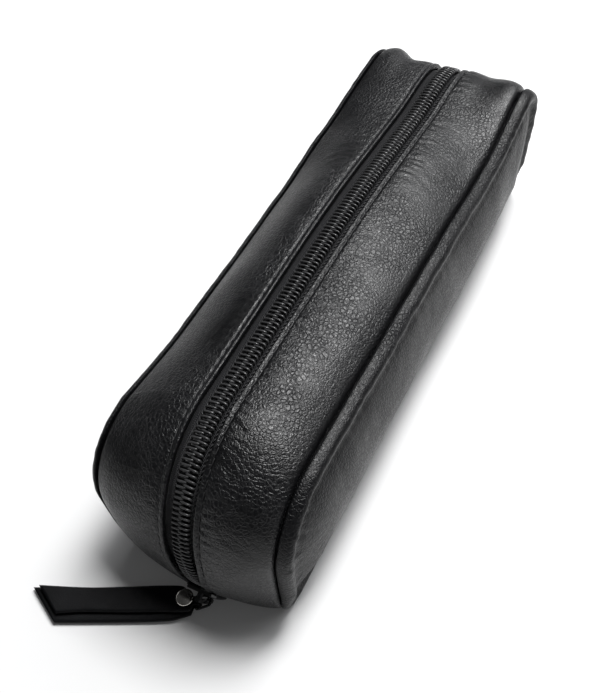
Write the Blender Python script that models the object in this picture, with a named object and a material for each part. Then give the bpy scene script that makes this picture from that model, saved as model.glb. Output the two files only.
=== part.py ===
"""Soft leather zip bag with a coil zip, slider, link and folded leather pull.

Frame: X along the bag with the slider's end at -X, Y across it with the front panel at -Y, Z up.
The origin is the middle of the base on the ground. Lengths are metres.
"""

import math

import bpy
import numpy as np

# Unit
MM = 0.001

# Bag outline at the panel seams
HALF_LENGTH = 93.5 * MM
SEAM_HEIGHT = 50.0 * MM
NEAR_TOP_RADIUS = 23.0 * MM
FAR_TOP_RADIUS = 13.0 * MM
BOTTOM_RADIUS = 7.0 * MM
SEAM_Y = 27.3 * MM
MEDIAL_X = 68.0 * MM
MEDIAL_Z = 25.0 * MM
SQUARE_INSET = 5.0 * MM

# How far each seam's top edge rises or sags along the bag, at evenly spread places
SEAM_WAVE_STEP = 30.0 * MM
FRONT_WAVE = (0.6 * MM, 0.5 * MM, 0.3 * MM, 0.0 * MM, -1.8 * MM, -1.6 * MM)
BACK_WAVE = (-2.2 * MM, -4.6 * MM, -4.4 * MM, -3.4 * MM, -1.0 * MM, 0.6 * MM)

# How the soft bag settles: its sides lean in towards the floor, and its far corners are drawn out and up
LEAN_NEAR = 1.7 * MM
LEAN_FAR = 4.3 * MM
LEAN_HEIGHT = 42.0 * MM
DRAW_FAR = 3.0 * MM
SIDE_START_Y = 13.0 * MM
SIDE_BLEND = 14.0 * MM
FAR_START_X = 50.0 * MM
FAR_BLEND = 43.0 * MM
FAR_BACK_OUT = 6.5 * MM
FAR_FRONT_OUT = -2.0 * MM
FAR_BACK_RISE = 1.5 * MM
FAR_FRONT_RISE = 6.0 * MM
LOW_OUT_SHARE = 0.35

# Zip line, leather crest beside the zip
ARC_X = -64.5 * MM
CREST_TOP = 57.0 * MM
CREST_RADIUS = 36.0 * MM
END_TILT = math.radians(4.7)
TILT_FADE = 60.0 * MM
ARC_Y = -CREST_RADIUS * math.sin(END_TILT)
ARC_Z = CREST_TOP - CREST_RADIUS * math.cos(END_TILT)
END_ANGLE = math.radians(-34.5)
SECOND_ANGLE = math.radians(-29.0)
MATCH_ANGLE = math.radians(10.0)
BASE_MATCH_ANGLE = math.radians(-24.0)
CREST_TOP_X = (-40.0 * MM, 20.0 * MM, 46.0 * MM, 64.0 * MM, 76.0 * MM)
CREST_TOP_Z = (57.2 * MM, 57.0 * MM, 54.8 * MM, 53.4 * MM, 53.6 * MM)
FAR_X = (84.0 * MM, 90.0 * MM, 94.2 * MM, 96.6 * MM, 97.6 * MM, 97.8 * MM)
FAR_Z = (52.9 * MM, 51.0 * MM, 47.2 * MM, 41.6 * MM, 34.2 * MM, 25.0 * MM)
FAR_LOW_X = (97.3 * MM, 96.2 * MM, 94.2 * MM)
FAR_LOW_Z = (14.0 * MM, 6.5 * MM, 0.7 * MM)
CREST_STEP = 0.8 * MM
TOP_END_X = 81.0 * MM
CORNER_END_Z = 37.0 * MM
SIDE_END_RUN = 6.0 * MM
CORNER_MIDDLE_RUN = 3.0 * MM

# Leather
LEATHER = 1.2 * MM
FOLD_LEATHER = 1.7 * MM
FOLD_Y = 5.4 * MM
FOLD_END_Y = 14.5 * MM
CROWN_POWER_SHARE = 2.2
GAP = 0.3 * MM
FOLD_ROUND = 0.35 * MM
FOLD_ROUND_DROP = 0.25 * MM
SEAM_DROP = 0.15 * MM
GUSSET_OUTER_Y = (10.0 * MM, 14.0 * MM, 18.0 * MM, 22.0 * MM, 25.0 * MM)
GUSSET_THIN_Y = (22.0 * MM, 17.5 * MM)
FOLD_MIDDLE_Y = 10.0 * MM

# Zip
TAPE_OUT = -2.0 * MM
TAPE_IN = -2.6 * MM
TAPE_EDGE_Y = 0.15 * MM
TAPE_FAR_Y = 13.5 * MM
COIL_TOP = 0.5 * MM
COIL_SHOULDER = -0.1 * MM
COIL_UNDER = -1.7 * MM
COIL_OUTER_Y = 3.0 * MM
COIL_SHOULDER_Y = 2.5 * MM
TAPE_END_ANGLE = math.radians(-35.0)
COIL_END_ANGLE = math.radians(-33.0)
STOP_START_ANGLE = math.radians(-33.4)
STOP_END_ANGLE = math.radians(-34.7)
SPLAY = 1.0 * MM
SPLAY_START_ANGLE = math.radians(-25.0)
SPLAY_END_ANGLE = math.radians(-31.5)
FAR_STOP_Z = 7.0 * MM
FAR_STOP_LENGTH = 1.6 * MM
FAR_TAPE_SHORT = 2.0 * MM
TAPE_MIDDLE_Y = (4.6 * MM, 9.0 * MM)
COIL_RIDGE_Y = 0.8 * MM
STOP_SHOULDER = -0.3 * MM
STOP_TOP = 0.1 * MM

# Slider, as angles about the end arc's centre and radii from it
SLIDER_ANGLE = math.radians(-25.0)
SLIDER_HALF = 4.8 * MM
SLIDER_HALF_WIDTH = 5.0 * MM
PLATE_THICK = 0.9 * MM
UNDER_DEPTH = 3.0 * MM
OVER_CLEARANCE = 0.85 * MM
PLATE_UNDER_TOP = CREST_RADIUS - UNDER_DEPTH
PLATE_UNDER = PLATE_UNDER_TOP - PLATE_THICK
PLATE_OVER = CREST_RADIUS + OVER_CLEARANCE
PLATE_OVER_TOP = PLATE_OVER + PLATE_THICK
PLATE_EASE = 0.25 * MM
PLATE_DRAW = 0.9 * MM
FLANGE_INNER_Y = 4.35 * MM
FLANGE_DEPTH = 1.6 * MM
FLANGE_LOW = CREST_RADIUS - FLANGE_DEPTH
FLANGE_INSET = 0.1 * MM
NECK_HALF = 0.85 * MM
NECK_RUNS = (0.5 * MM, 1.0 * MM, 1.7 * MM, 2.5 * MM, 3.1 * MM)
NECK_HALF_SHARES = (0.0, 0.8, 1.0, 0.55, 0.0)
BAIL_HALF = 3.8 * MM
BAIL_LEG = 1.2 * MM
BAIL_HALF_WIDTH = 0.8 * MM
BAIL_HOLE = 1.7 * MM
BAIL_BAR = 1.0 * MM
BAIL_HOLE_TOP = PLATE_OVER_TOP + BAIL_HOLE
BAIL_TOP = BAIL_HOLE_TOP + BAIL_BAR
SINK = 0.15 * MM

# Link between the slider's bail and the pull
LINK_WIRE = 0.4 * MM
LINK_ANGLE = math.radians(-27.0)
LINK_INTO_BAR = 0.45 * MM
LINK_RADIUS = BAIL_HOLE_TOP + LINK_INTO_BAR
LINK_BACK = 1.45 * MM
LINK_REACH = 2.95 * MM
LINK_HALF_NEAR = 1.3 * MM
LINK_HALF_FAR = 2.2 * MM
LINK_CORNER = 0.8 * MM
LINK_DROP = 0.85 * MM
PULL_HEADING = (-0.431, 0.9024)

# Leather pull
PULL_LOOP = 0.7 * MM
PULL_NECK_HALF = 1.3 * MM
PULL_THICK = 1.5 * MM
PULL_NECK_THICK = 1.0 * MM
RIVET_FROM_ROOT = (-0.878 * MM, 2.872 * MM)
RIVET_HOLE = 1.25 * MM
RIVET_POST = 0.95 * MM
RIVET_CAP = 2.6 * MM
RIVET_CAP_RISE = 0.75 * MM
RIVET_RIM = 0.25 * MM
RIVET_BACK = 2.0 * MM
RIVET_BACK_THICK = 0.35 * MM
CAP_RISE = 2.432 * MM
BACK_DROP = 1.768 * MM
HOLE_BELOW = 5.0 * MM
HOLE_ABOVE = 6.0 * MM

# Piping
PIPE_RADIUS = 2.1 * MM
PIPE_INSET = 2.3 * MM
CORD_RADIUS = 1.0 * MM
PIPE_WALL_GAP = 0.3 * MM

# Panels: inset from the seam outline against how far out the face stands
PANEL_INSET = (2.0 * MM, 4.5 * MM, 5.0 * MM, 6.4 * MM, 9.0 * MM, 13.0 * MM, 18.0 * MM)
PANEL_RISE = (0.0 * MM, 0.05 * MM, 1.2 * MM, 2.8 * MM, 4.2 * MM, 5.3 * MM, 6.1 * MM)
PANEL_CROWN = 6.6 * MM
INNER_SHIFT = (0.0 * MM, 1.4 * MM, 1.6 * MM, 1.2 * MM, 0.5 * MM, 0.2 * MM, 0.0 * MM)
FOAM_INSET = (3.0 * MM, 6.3 * MM, 7.0 * MM, 8.0 * MM, 9.8 * MM, 13.4 * MM, 18.0 * MM)
FOAM_BACK_SHARE = 0.55
FOAM_THICK = 2.4 * MM
LINING = 0.5 * MM

# Base
BASE_END = 91.3 * MM
BASE_COLUMNS = (22.0 * MM, 15.0 * MM)
BASE_MIDDLE_X = 40.0 * MM
BOARD_SHORT = 9.3 * MM
BASE_LINING_SHORT = 7.8 * MM
BASE_CORNER_ANGLE = math.radians(48.5)
SEAM_CORNER_ANGLE = math.radians(45.0)
BOARD_LOW = 1.5 * MM
BOARD_HIGH = 3.5 * MM
BOARD_HALF_X = BASE_END - BOARD_SHORT
BOARD_HALF_Y = 21.0 * MM
BOARD_CORNER = 5.0 * MM
BASE_LINING_LOW = 3.8 * MM
BASE_LINING_HIGH = 4.4 * MM
BASE_LINING_HALF_X = BASE_END - BASE_LINING_SHORT
BASE_LINING_HALF_Y = 21.8 * MM

# Gusset lining
GUSSET_LINING_TOP = -3.0 * MM
GUSSET_LINING_IN = -3.5 * MM
GUSSET_LINING_Y = (9.0 * MM, 13.0 * MM, 17.0 * MM, 22.0 * MM)
LINING_END_Z = 5.2 * MM

# Finishes
BLACK_LEATHER = (0.018, 0.018, 0.020, 1.0)
EDGE_LEATHER = (0.030, 0.030, 0.032, 1.0)
ZIP_BLACK = (0.012, 0.012, 0.014, 1.0)
LINING_GREY = (0.050, 0.050, 0.055, 1.0)
FOAM_GREY = (0.300, 0.300, 0.310, 1.0)
BOARD_BROWN = (0.250, 0.180, 0.120, 1.0)
NICKEL = (0.700, 0.700, 0.680, 1.0)
ENAMEL = (0.020, 0.020, 0.022, 1.0)


def finish(name, color, metal=0.0, rough=0.55):
    """Gives back the named Principled material, making it the first time."""
    found = bpy.data.materials.get(name)
    if found:
        return found
    material = bpy.data.materials.new(name)
    material.use_nodes = True
    shader = material.node_tree.nodes["Principled BSDF"]
    shader.inputs["Base Color"].default_value = color
    shader.inputs["Metallic"].default_value = metal
    shader.inputs["Roughness"].default_value = rough
    return material


def settled(point):
    """A point of the bag as built moved to where it lies in the soft bag as it stands."""
    x, y, z = point
    side = -1.0 if y < 0.0 else 1.0
    share = smooth_step((abs(y) - SIDE_START_Y) / SIDE_BLEND)
    along = min(max((x + HALF_LENGTH) / (2.0 * HALF_LENGTH), 0.0), 1.0)
    low = smooth_step((LEAN_HEIGHT - z) / LEAN_HEIGHT)
    inward = (LEAN_NEAR + (LEAN_FAR - LEAN_NEAR) * along) * low
    if side > 0.0:
        inward += DRAW_FAR * along
    high = smooth_step(z / SEAM_HEIGHT)
    far = share * smooth_step((x - FAR_START_X) / FAR_BLEND)
    out = FAR_BACK_OUT if side > 0.0 else FAR_FRONT_OUT
    rise = FAR_BACK_RISE if side > 0.0 else FAR_FRONT_RISE
    out_share = LOW_OUT_SHARE + (1.0 - LOW_OUT_SHARE) * high
    return (x + far * out * out_share, side * (abs(y) - share * inward), z + far * rise * high)


def add_soft(name, vertices, faces, material, smooth=True):
    """Makes a mesh object of the bag itself, settled."""
    return add(name, [settled(v) for v in vertices], faces, material, smooth)


def add(name, vertices, faces, material, smooth=True, pivot=(0.0, 0.0, 0.0)):
    """Makes a mesh object with its normals out and its origin at the pivot."""
    mesh = bpy.data.meshes.new(name)
    centre = np.array(pivot)
    mesh.from_pydata([tuple(np.array(v) - centre) for v in vertices], [], [list(f) for f in faces])
    mesh.validate()
    mesh.update()
    body = bpy.data.objects.new(name, mesh)
    body.location = pivot
    bpy.context.scene.collection.objects.link(body)
    mesh.materials.append(material)
    if signed_volume(mesh) < 0.0:
        mesh.flip_normals()
    mesh.polygons.foreach_set("use_smooth", [smooth] * len(mesh.polygons))
    return body


def signed_volume(mesh):
    """Volume inside the mesh, below zero where its faces point in."""
    total = 0.0
    for face in mesh.polygons:
        corners = [mesh.vertices[i].co for i in face.vertices]
        for k in range(1, len(corners) - 1):
            total += corners[0].dot(corners[k].cross(corners[k + 1]))
    return total / 6.0


def tube_faces(rings, count, closed):
    """Quads between rings of count points, with flat ends unless the run is closed."""
    faces = []
    last = rings if closed else rings - 1
    for i in range(last):
        a = i * count
        b = ((i + 1) % rings) * count
        for j in range(count):
            k = (j + 1) % count
            faces.append((a + j, a + k, b + k, b + j))
    if not closed:
        faces.append(tuple(range(count))[::-1])
        faces.append(tuple((rings - 1) * count + j for j in range(count)))
    return faces


def cut(body, cutter, operation="DIFFERENCE"):
    """Applies an exact boolean and removes the cutter."""
    cutter.hide_render = True
    cutter.display_type = "WIRE"
    step = body.modifiers.new("cut", "BOOLEAN")
    step.operation = operation
    step.solver = "EXACT"
    step.object = cutter
    graph = bpy.context.evaluated_depsgraph_get()
    made = bpy.data.meshes.new_from_object(body.evaluated_get(graph))
    body.modifiers.remove(step)
    old = body.data
    body.data = made
    bpy.data.meshes.remove(old)
    bpy.data.objects.remove(cutter, do_unlink=True)


def unit(vector):
    return vector / np.linalg.norm(vector)


def smooth_step(value):
    value = min(max(value, 0.0), 1.0)
    return value * value * (3.0 - 2.0 * value)


def wave(x, knots):
    """Smooth height change of a seam's top edge at x."""
    first = -SEAM_WAVE_STEP * (len(knots) - 1) / 2.0
    place = (x - first) / SEAM_WAVE_STEP
    place = min(max(place, 0.0), len(knots) - 1.0)
    low = min(int(place), len(knots) - 2)
    share = smooth_step(place - low)
    return knots[low] * (1.0 - share) + knots[low + 1] * share


# Stations round the seam outline, as (piece, share) pairs
def seam_point(piece, share, knots):
    """Point and outward normal of the seam outline in X and Z."""
    left = -HALF_LENGTH
    right = HALF_LENGTH
    near_top = knots[0]
    far_top = knots[-1]
    near_centre = np.array((left + NEAR_TOP_RADIUS, SEAM_HEIGHT - NEAR_TOP_RADIUS))
    far_centre = np.array((right - FAR_TOP_RADIUS, SEAM_HEIGHT - FAR_TOP_RADIUS))
    low_near = np.array((left + BOTTOM_RADIUS, BOTTOM_RADIUS))
    low_far = np.array((right - BOTTOM_RADIUS, BOTTOM_RADIUS))
    if piece == "near_corner":
        angle = math.pi * (1.5 - 0.5 * share)
        normal = np.array((math.cos(angle), math.sin(angle)))
        return low_near + BOTTOM_RADIUS * normal, normal
    if piece == "near_side":
        z = BOTTOM_RADIUS + (near_centre[1] - BOTTOM_RADIUS) * share
        return np.array((left, z)), np.array((-1.0, 0.0))
    if piece == "near_arc":
        angle = math.pi * (1.0 - 0.5 * share)
        normal = np.array((math.cos(angle), math.sin(angle)))
        point = near_centre + NEAR_TOP_RADIUS * normal
        return point + np.array((0.0, near_top * smooth_step(share))), normal
    if piece == "top":
        x = near_centre[0] + (far_centre[0] - near_centre[0]) * share
        return np.array((x, SEAM_HEIGHT + wave(x, knots))), np.array((0.0, 1.0))
    if piece == "far_arc":
        angle = math.pi * 0.5 * (1.0 - share)
        normal = np.array((math.cos(angle), math.sin(angle)))
        point = far_centre + FAR_TOP_RADIUS * normal
        return point + np.array((0.0, far_top * smooth_step(1.0 - share))), normal
    if piece == "far_side":
        z = far_centre[1] + (BOTTOM_RADIUS - far_centre[1]) * share
        return np.array((right, z)), np.array((1.0, 0.0))
    if piece == "far_corner":
        angle = -math.pi * 0.5 * share
        normal = np.array((math.cos(angle), math.sin(angle)))
        return low_far + BOTTOM_RADIUS * normal, normal
    x = low_far[0] + (low_near[0] - low_far[0]) * share
    return np.array((x, 0.0)), np.array((0.0, -1.0))


LOOP_TOP = (
    [("near_side", 0.5), ("near_side", 0.8)]
    + [("near_arc", k / 5.0) for k in range(5)]
    + [("top", k / 9.0) for k in range(9)]
    + [("far_arc", k / 4.0) for k in range(4)]
    + [("far_side", 0.0), ("far_side", 0.3)]
)
LOOP_LOW = (
    [("far_side", 0.6), ("far_side", 0.85)]
    + [("far_corner", k / 4.0) for k in range(4)]
    + [("bottom", k / 10.0) for k in range(10)]
    + [("near_corner", k / 4.0) for k in range(4)]
    + [("near_side", 0.0), ("near_side", 0.25)]
)
LOOP = LOOP_TOP + LOOP_LOW


def crest_line():
    """Fine points of the zip's crest from the end arc's top, along the bag, to the far floor."""
    top = [(ARC_X, CREST_TOP)]
    top += list(zip(CREST_TOP_X, CREST_TOP_Z))
    top += list(zip(FAR_X, FAR_Z))
    top += list(zip(FAR_LOW_X, FAR_LOW_Z))
    knots = np.array(top)
    run = np.concatenate([[0.0], np.cumsum(np.linalg.norm(np.diff(knots, axis=0), axis=1))])
    slopes = np.gradient(knots, run, axis=0)
    slopes[0] = (1.0, 0.0)
    fine = []
    for i in range(len(knots) - 1):
        width = run[i + 1] - run[i]
        for t in np.linspace(0.0, 1.0, 9)[:-1]:
            h = (2 * t**3 - 3 * t**2 + 1, t**3 - 2 * t**2 + t, 3 * t**2 - 2 * t**3, t**3 - t**2)
            fine.append(h[0] * knots[i] + h[1] * width * slopes[i] + h[2] * knots[i + 1] + h[3] * width * slopes[i + 1])
    fine.append(knots[-1])
    return np.array(fine)


FAR_CREST = crest_line()
FAR_RUN = np.concatenate([[0.0], np.cumsum(np.linalg.norm(np.diff(FAR_CREST, axis=0), axis=1))])


def crest_at_run(run):
    """Point, outward normal and cross direction of the crest a given run past the end arc's top."""
    step = CREST_STEP
    places = []
    for r in (run, run + step, run - step):
        places.append(np.array((np.interp(r, FAR_RUN, FAR_CREST[:, 0]), np.interp(r, FAR_RUN, FAR_CREST[:, 1]))))
    along = unit(places[1] - places[2]) if run > 0.0 else np.array((1.0, 0.0))
    tilt = END_TILT * (1.0 - smooth_step(run / TILT_FADE))
    normal = np.array((-along[1], along[0] * math.sin(tilt), along[0] * math.cos(tilt)))
    across = np.array((0.0, math.cos(tilt), -math.sin(tilt)))
    return np.array((places[0][0], 0.0, places[0][1])), normal, across


def crest_at_angle(angle):
    """Point, outward normal and cross direction of the crest on the end arc, angle up from level."""
    normal = arc_out(angle)
    return ARC_CENTRE + CREST_RADIUS * normal, normal, ARC_AXIS


ARC_CENTRE = np.array((ARC_X, ARC_Y, ARC_Z))
ARC_AXIS = np.array((0.0, math.cos(END_TILT), -math.sin(END_TILT)))


def arc_out(angle):
    """Direction from the end arc's axis at an angle up from level."""
    return np.array((-math.cos(angle), math.sin(angle) * math.sin(END_TILT), math.sin(angle) * math.cos(END_TILT)))


def run_at_x(x):
    """Run past the end arc's top where the crest reaches x on its way out."""
    highest = int(np.argmax(FAR_CREST[:, 0]))
    return float(np.interp(x, FAR_CREST[: highest + 1, 0], FAR_RUN[: highest + 1]))


RUN_TOP_END = run_at_x(TOP_END_X)
RUN_CORNER_END = float(np.interp(CORNER_END_Z, FAR_CREST[::-1, 1], FAR_RUN[::-1]))
RUN_END = float(FAR_RUN[-1])

# Stations of the gusset strips: seam piece, its share, and the matching place on the crest
STRIP = (
    [("near_corner", 0.5, "angle", END_ANGLE), ("near_corner", 0.75, "angle", SECOND_ANGLE)]
    + [("near_side", k / 4.0, "angle", BASE_MATCH_ANGLE + (MATCH_ANGLE - BASE_MATCH_ANGLE) * k / 4.0) for k in range(4)]
    + [("near_arc", k / 8.0, "angle", MATCH_ANGLE + (math.pi * 0.5 - MATCH_ANGLE) * k / 8.0) for k in range(8)]
    + [("top", k / 11.0, "run", RUN_TOP_END * k / 11.0) for k in range(11)]
    + [("far_arc", k / 5.0, "run", RUN_TOP_END + (RUN_CORNER_END - RUN_TOP_END) * k / 5.0) for k in range(5)]
    + [("far_side", k / 3.0, "run", RUN_CORNER_END + (RUN_END - SIDE_END_RUN - RUN_CORNER_END) * k / 3.0) for k in range(3)]
    + [("far_corner", 0.0, "run", RUN_END - SIDE_END_RUN), ("far_corner", 0.25, "run", RUN_END - CORNER_MIDDLE_RUN)]
    + [("far_corner", 0.5, "run", RUN_END)]
)


def crest_place(kind, value):
    return crest_at_angle(value) if kind == "angle" else crest_at_run(value)


def crown(y):
    """How much of the crest's rise the gusset has at y, from 1 at the zip to 0 at the seam."""
    if abs(y) <= FOLD_Y:
        return 1.0
    return 1.0 - ((abs(y) - FOLD_Y) / (SEAM_Y - FOLD_Y)) ** CROWN_POWER_SHARE


def skin_point(station, y, height):
    """Point of the gusset a given height above its outer face."""
    knots = FRONT_WAVE if y < 0.0 else BACK_WAVE
    flat, flat_normal = seam_point(station[0], station[1], knots)
    low = np.array((flat[0], y, flat[1]))
    low_normal = np.array((flat_normal[0], 0.0, flat_normal[1]))
    high, high_normal, across = crest_place(station[2], station[3])
    high = high + across * y
    share = crown(y)
    base = low + (high - low) * share
    normal = unit(low_normal + (high_normal - low_normal) * share)
    return tuple(base + normal * height)


def strip_solid(stations, side, section):
    """Sweeps a closed section of (y, height) pairs along stations of the gusset."""
    vertices = []
    for station in stations:
        for y, height in section:
            vertices.append(skin_point(station, side * y, height))
    return vertices, tube_faces(len(stations), len(section), False)


def gusset_section():
    """Section of a gusset strip with its edge beside the zip folded under."""
    outer = [(FOLD_Y, -FOLD_LEATHER * 0.5), (FOLD_Y + FOLD_ROUND, -FOLD_ROUND_DROP), (FOLD_Y + 3.0 * FOLD_ROUND, 0.0)]
    outer += [(y, 0.0) for y in GUSSET_OUTER_Y]
    outer += [(SEAM_Y, -SEAM_DROP), (SEAM_Y, -LEATHER)]
    inner = [(y, -LEATHER) for y in GUSSET_THIN_Y] + [(FOLD_END_Y, -FOLD_LEATHER), (FOLD_MIDDLE_Y, -FOLD_LEATHER)]
    inner += [(FOLD_Y + FOLD_ROUND, -FOLD_LEATHER)]
    return outer + inner


def splay_at(station):
    """How far the zip's two sides stand apart where the slider's wedge parts them."""
    if station[2] != "angle":
        return 0.0
    return SPLAY * smooth_step((SPLAY_START_ANGLE - station[3]) / (SPLAY_START_ANGLE - SPLAY_END_ANGLE))


def zip_stations(first_angle, last_run, coarse):
    """Stations for tape and coil, closer together where the slider parts them."""
    found = []
    angles = [first_angle, math.radians(-31.5), math.radians(-29.0), math.radians(-26.5), math.radians(-24.0)]
    angles += list(np.linspace(math.radians(-17.0), math.radians(82.0), coarse))
    for angle in angles:
        found.append(matched("angle", float(angle)))
    for run in np.linspace(0.0, RUN_TOP_END, coarse):
        found.append(matched("run", float(run)))
    for run in np.linspace(RUN_TOP_END, last_run, coarse)[1:]:
        found.append(matched("run", float(run)))
    return found


def strip_key(station):
    """One rising number along the crest for a station."""
    return station[3] * CREST_RADIUS if station[2] == "angle" else math.pi * 0.5 * CREST_RADIUS + station[3]


STRIP_KEYS = [strip_key(s) for s in STRIP]


def matched(kind, value):
    """Station at a place on the crest, with the seam place found between the strip's own stations."""
    key = strip_key((None, None, kind, value))
    place = float(np.interp(key, STRIP_KEYS, range(len(STRIP))))
    low = min(int(place), len(STRIP) - 2)
    share = place - low
    here = STRIP[low]
    after = STRIP[low + 1]
    end = after[1] if after[0] == here[0] else 1.0
    return (here[0], here[1] + (end - here[1]) * share, kind, value)


def zip_solid(stations, side, section):
    """As strip_solid, with the two sides moved apart at the slider's mouth."""
    vertices = []
    for station in stations:
        apart = splay_at(station)
        for y, height in section:
            moved = y + apart * (1.0 - smooth_step((y - COIL_OUTER_Y) / (FOLD_Y + COIL_OUTER_Y)))
            vertices.append(skin_point(station, side * moved, height))
    return vertices, tube_faces(len(stations), len(section), False)


def medial(point):
    """Nearest point of the panel's middle line."""
    return np.array((min(max(point[0], -MEDIAL_X), MEDIAL_X), MEDIAL_Z))


def loop_points(knots, inset, y):
    """The seam outline moved in by an inset at one y: square to itself, then towards the middle line."""
    found = []
    for piece, share in LOOP:
        point, normal = seam_point(piece, share, knots)
        flat = point - normal * min(inset, SQUARE_INSET)
        more = max(inset - SQUARE_INSET, 0.0) / (MEDIAL_Z - SQUARE_INSET)
        flat = flat + (medial(flat) - flat) * more
        found.append((flat[0], y, flat[1]))
    return found


def panel_rings(knots, insets, rises, crown_rise, side, base_y, drop):
    """Rings of a domed sheet from its rim to its middle line, at |y| = base_y + rise - drop."""
    rings = []
    for inset, rise in zip(insets, rises):
        rings.append(loop_points(knots, inset, side * (base_y + rise - drop)))
    start = np.array([(p[0], p[2]) for p in rings[-1]])
    last_rise = rises[-1]
    for share in (0.5, 0.9):
        ring = []
        rise = last_rise + (crown_rise - last_rise) * math.sin(share * math.pi * 0.5)
        for point in start:
            flat = point + (medial(point) - point) * share
            ring.append((flat[0], side * (base_y + rise - drop), flat[1]))
        rings.append(ring)
    return rings


def domed_sheet(outer, inner):
    """Closes two stacks of rings into one sheet, joined at the rim and filled in the middle."""
    count = len(LOOP)
    half = len(LOOP_TOP)
    vertices = [p for ring in outer for p in ring] + [p for ring in inner for p in ring]
    faces = []
    for k in range(len(outer) - 1):
        for j in range(count):
            n = (j + 1) % count
            faces.append((k * count + j, k * count + n, (k + 1) * count + n, (k + 1) * count + j))
    shift = len(outer) * count
    for k in range(len(inner) - 1):
        for j in range(count):
            n = (j + 1) % count
            a = shift + k * count
            b = shift + (k + 1) * count
            faces.append((a + n, a + j, b + j, b + n))
    for j in range(count):
        n = (j + 1) % count
        faces.append((n, j, shift + j, shift + n))
    for base, turn in (((len(outer) - 1) * count, False), (shift + (len(inner) - 1) * count, True)):
        for i in range(half):
            a = base + i
            b = base + i + 1
            c = base + (count - i - 1) % count
            d = base + (count - i) % count
            face = [a, b, c, d]
            if a == d:
                face = [a, b, c]
            if b == c:
                face = [a, b, d]
            faces.append(face[::-1] if turn else face)
    return vertices, faces


def polar(angle, radius, y):
    """Point at an angle up from level and a radius about the end arc's axis."""
    return tuple(ARC_CENTRE + radius * arc_out(angle) + y * ARC_AXIS)


def arc_block(first, last, low, high, y_low, y_high, steps):
    """Block bent round the end arc, from one run to another about the slider's middle."""
    vertices = []
    middle = 0.5 * (PLATE_UNDER + PLATE_OVER_TOP)
    for run in np.linspace(first, last, steps):
        angle = SLIDER_ANGLE + run / middle
        vertices.append(polar(angle, low, y_low))
        vertices.append(polar(angle, low, y_high))
        vertices.append(polar(angle, high, y_high))
        vertices.append(polar(angle, high, y_low))
    return vertices, tube_faces(steps, 4, False)


def plate(low, high, steps):
    """Slider plate with its ends drawn in and its long edges eased."""
    vertices = []
    middle = 0.5 * (PLATE_UNDER + PLATE_OVER_TOP)
    ease = PLATE_EASE
    for run in np.linspace(-SLIDER_HALF, SLIDER_HALF, steps):
        angle = SLIDER_ANGLE + run / middle
        share = abs(run) / SLIDER_HALF
        half = SLIDER_HALF_WIDTH - PLATE_DRAW * share**6
        for y, radius in (
            (-half, low),
            (half, low),
            (half, high - ease),
            (half - ease, high),
            (-half + ease, high),
            (-half, high - ease),
        ):
            vertices.append(polar(angle, radius, y))
    return vertices, tube_faces(steps, 6, False)


def neck_block():
    """Wedge that joins the slider's plates and parts the zip's two sides."""
    vertices = []
    middle = 0.5 * (PLATE_UNDER + PLATE_OVER_TOP)
    low = PLATE_UNDER_TOP - SINK
    high = PLATE_OVER + SINK
    outline = [(run - SLIDER_HALF, NECK_HALF * share) for run, share in zip(NECK_RUNS, NECK_HALF_SHARES)]
    outline += [(run, -y) for run, y in outline[-2:0:-1]]
    for radius in (low, high):
        for run, y in outline:
            vertices.append(polar(SLIDER_ANGLE + run / middle, radius, y))
    return vertices, tube_faces(2, len(outline), False)


def sweep(path, radius, sides, closed, turn_up=(0.0, 0.0, 1.0)):
    """Round wire along a path."""
    path = np.array(path)
    total = len(path)
    vertices = []
    for i in range(total):
        before = path[(i - 1) % total] if closed or i > 0 else path[i]
        after = path[(i + 1) % total] if closed or i < total - 1 else path[i]
        along = unit(after - before)
        across = unit(np.cross(along, np.array(turn_up)))
        over = np.cross(across, along)
        for k in range(sides):
            angle = 2.0 * math.pi * (k + 0.5) / sides
            vertices.append(path[i] + radius * (math.cos(angle) * across + math.sin(angle) * over))
    return vertices, tube_faces(total, sides, closed)


def dome(centre, radius, rise, rim, sides, rings, down):
    """Round cap with a flat foot, a short rim and a domed head."""
    x, y, z = centre
    sign = -1.0 if down else 1.0
    vertices = []
    levels = [(radius, 0.0), (radius, rim)]
    levels += [(radius * math.cos(a), rim + rise * math.sin(a)) for a in np.linspace(0.3, 1.35, rings)]
    for r, h in levels:
        for k in range(sides):
            angle = 2.0 * math.pi * k / sides
            vertices.append((x + r * math.cos(angle), y + r * math.sin(angle), z + sign * h))
    return vertices, tube_faces(len(levels), sides, False)


# Materials
LEATHER_MAT = finish("leather", BLACK_LEATHER)
EDGE_MAT = finish("strap_leather", EDGE_LEATHER)
ZIP_MAT = finish("nylon", ZIP_BLACK, 0.0, 0.5)
LINING_MAT = finish("lining", LINING_GREY, 0.0, 0.9)
FOAM_MAT = finish("foam", FOAM_GREY, 0.0, 0.95)
BOARD_MAT = finish("board", BOARD_BROWN, 0.0, 0.8)
NICKEL_MAT = finish("nickel", NICKEL, 1.0, 0.25)
ENAMEL_MAT = finish("enamel", ENAMEL, 0.6, 0.35)

SIDES = (("front", -1.0, FRONT_WAVE), ("back", 1.0, BACK_WAVE))


def build_gussets():
    """Two leather strips that run up the near end, along the top and down the far end."""
    for name, side, knots in SIDES:
        vertices, faces = strip_solid(STRIP, side, gusset_section())
        add_soft("gusset_" + name, vertices, faces, LEATHER_MAT)


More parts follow.
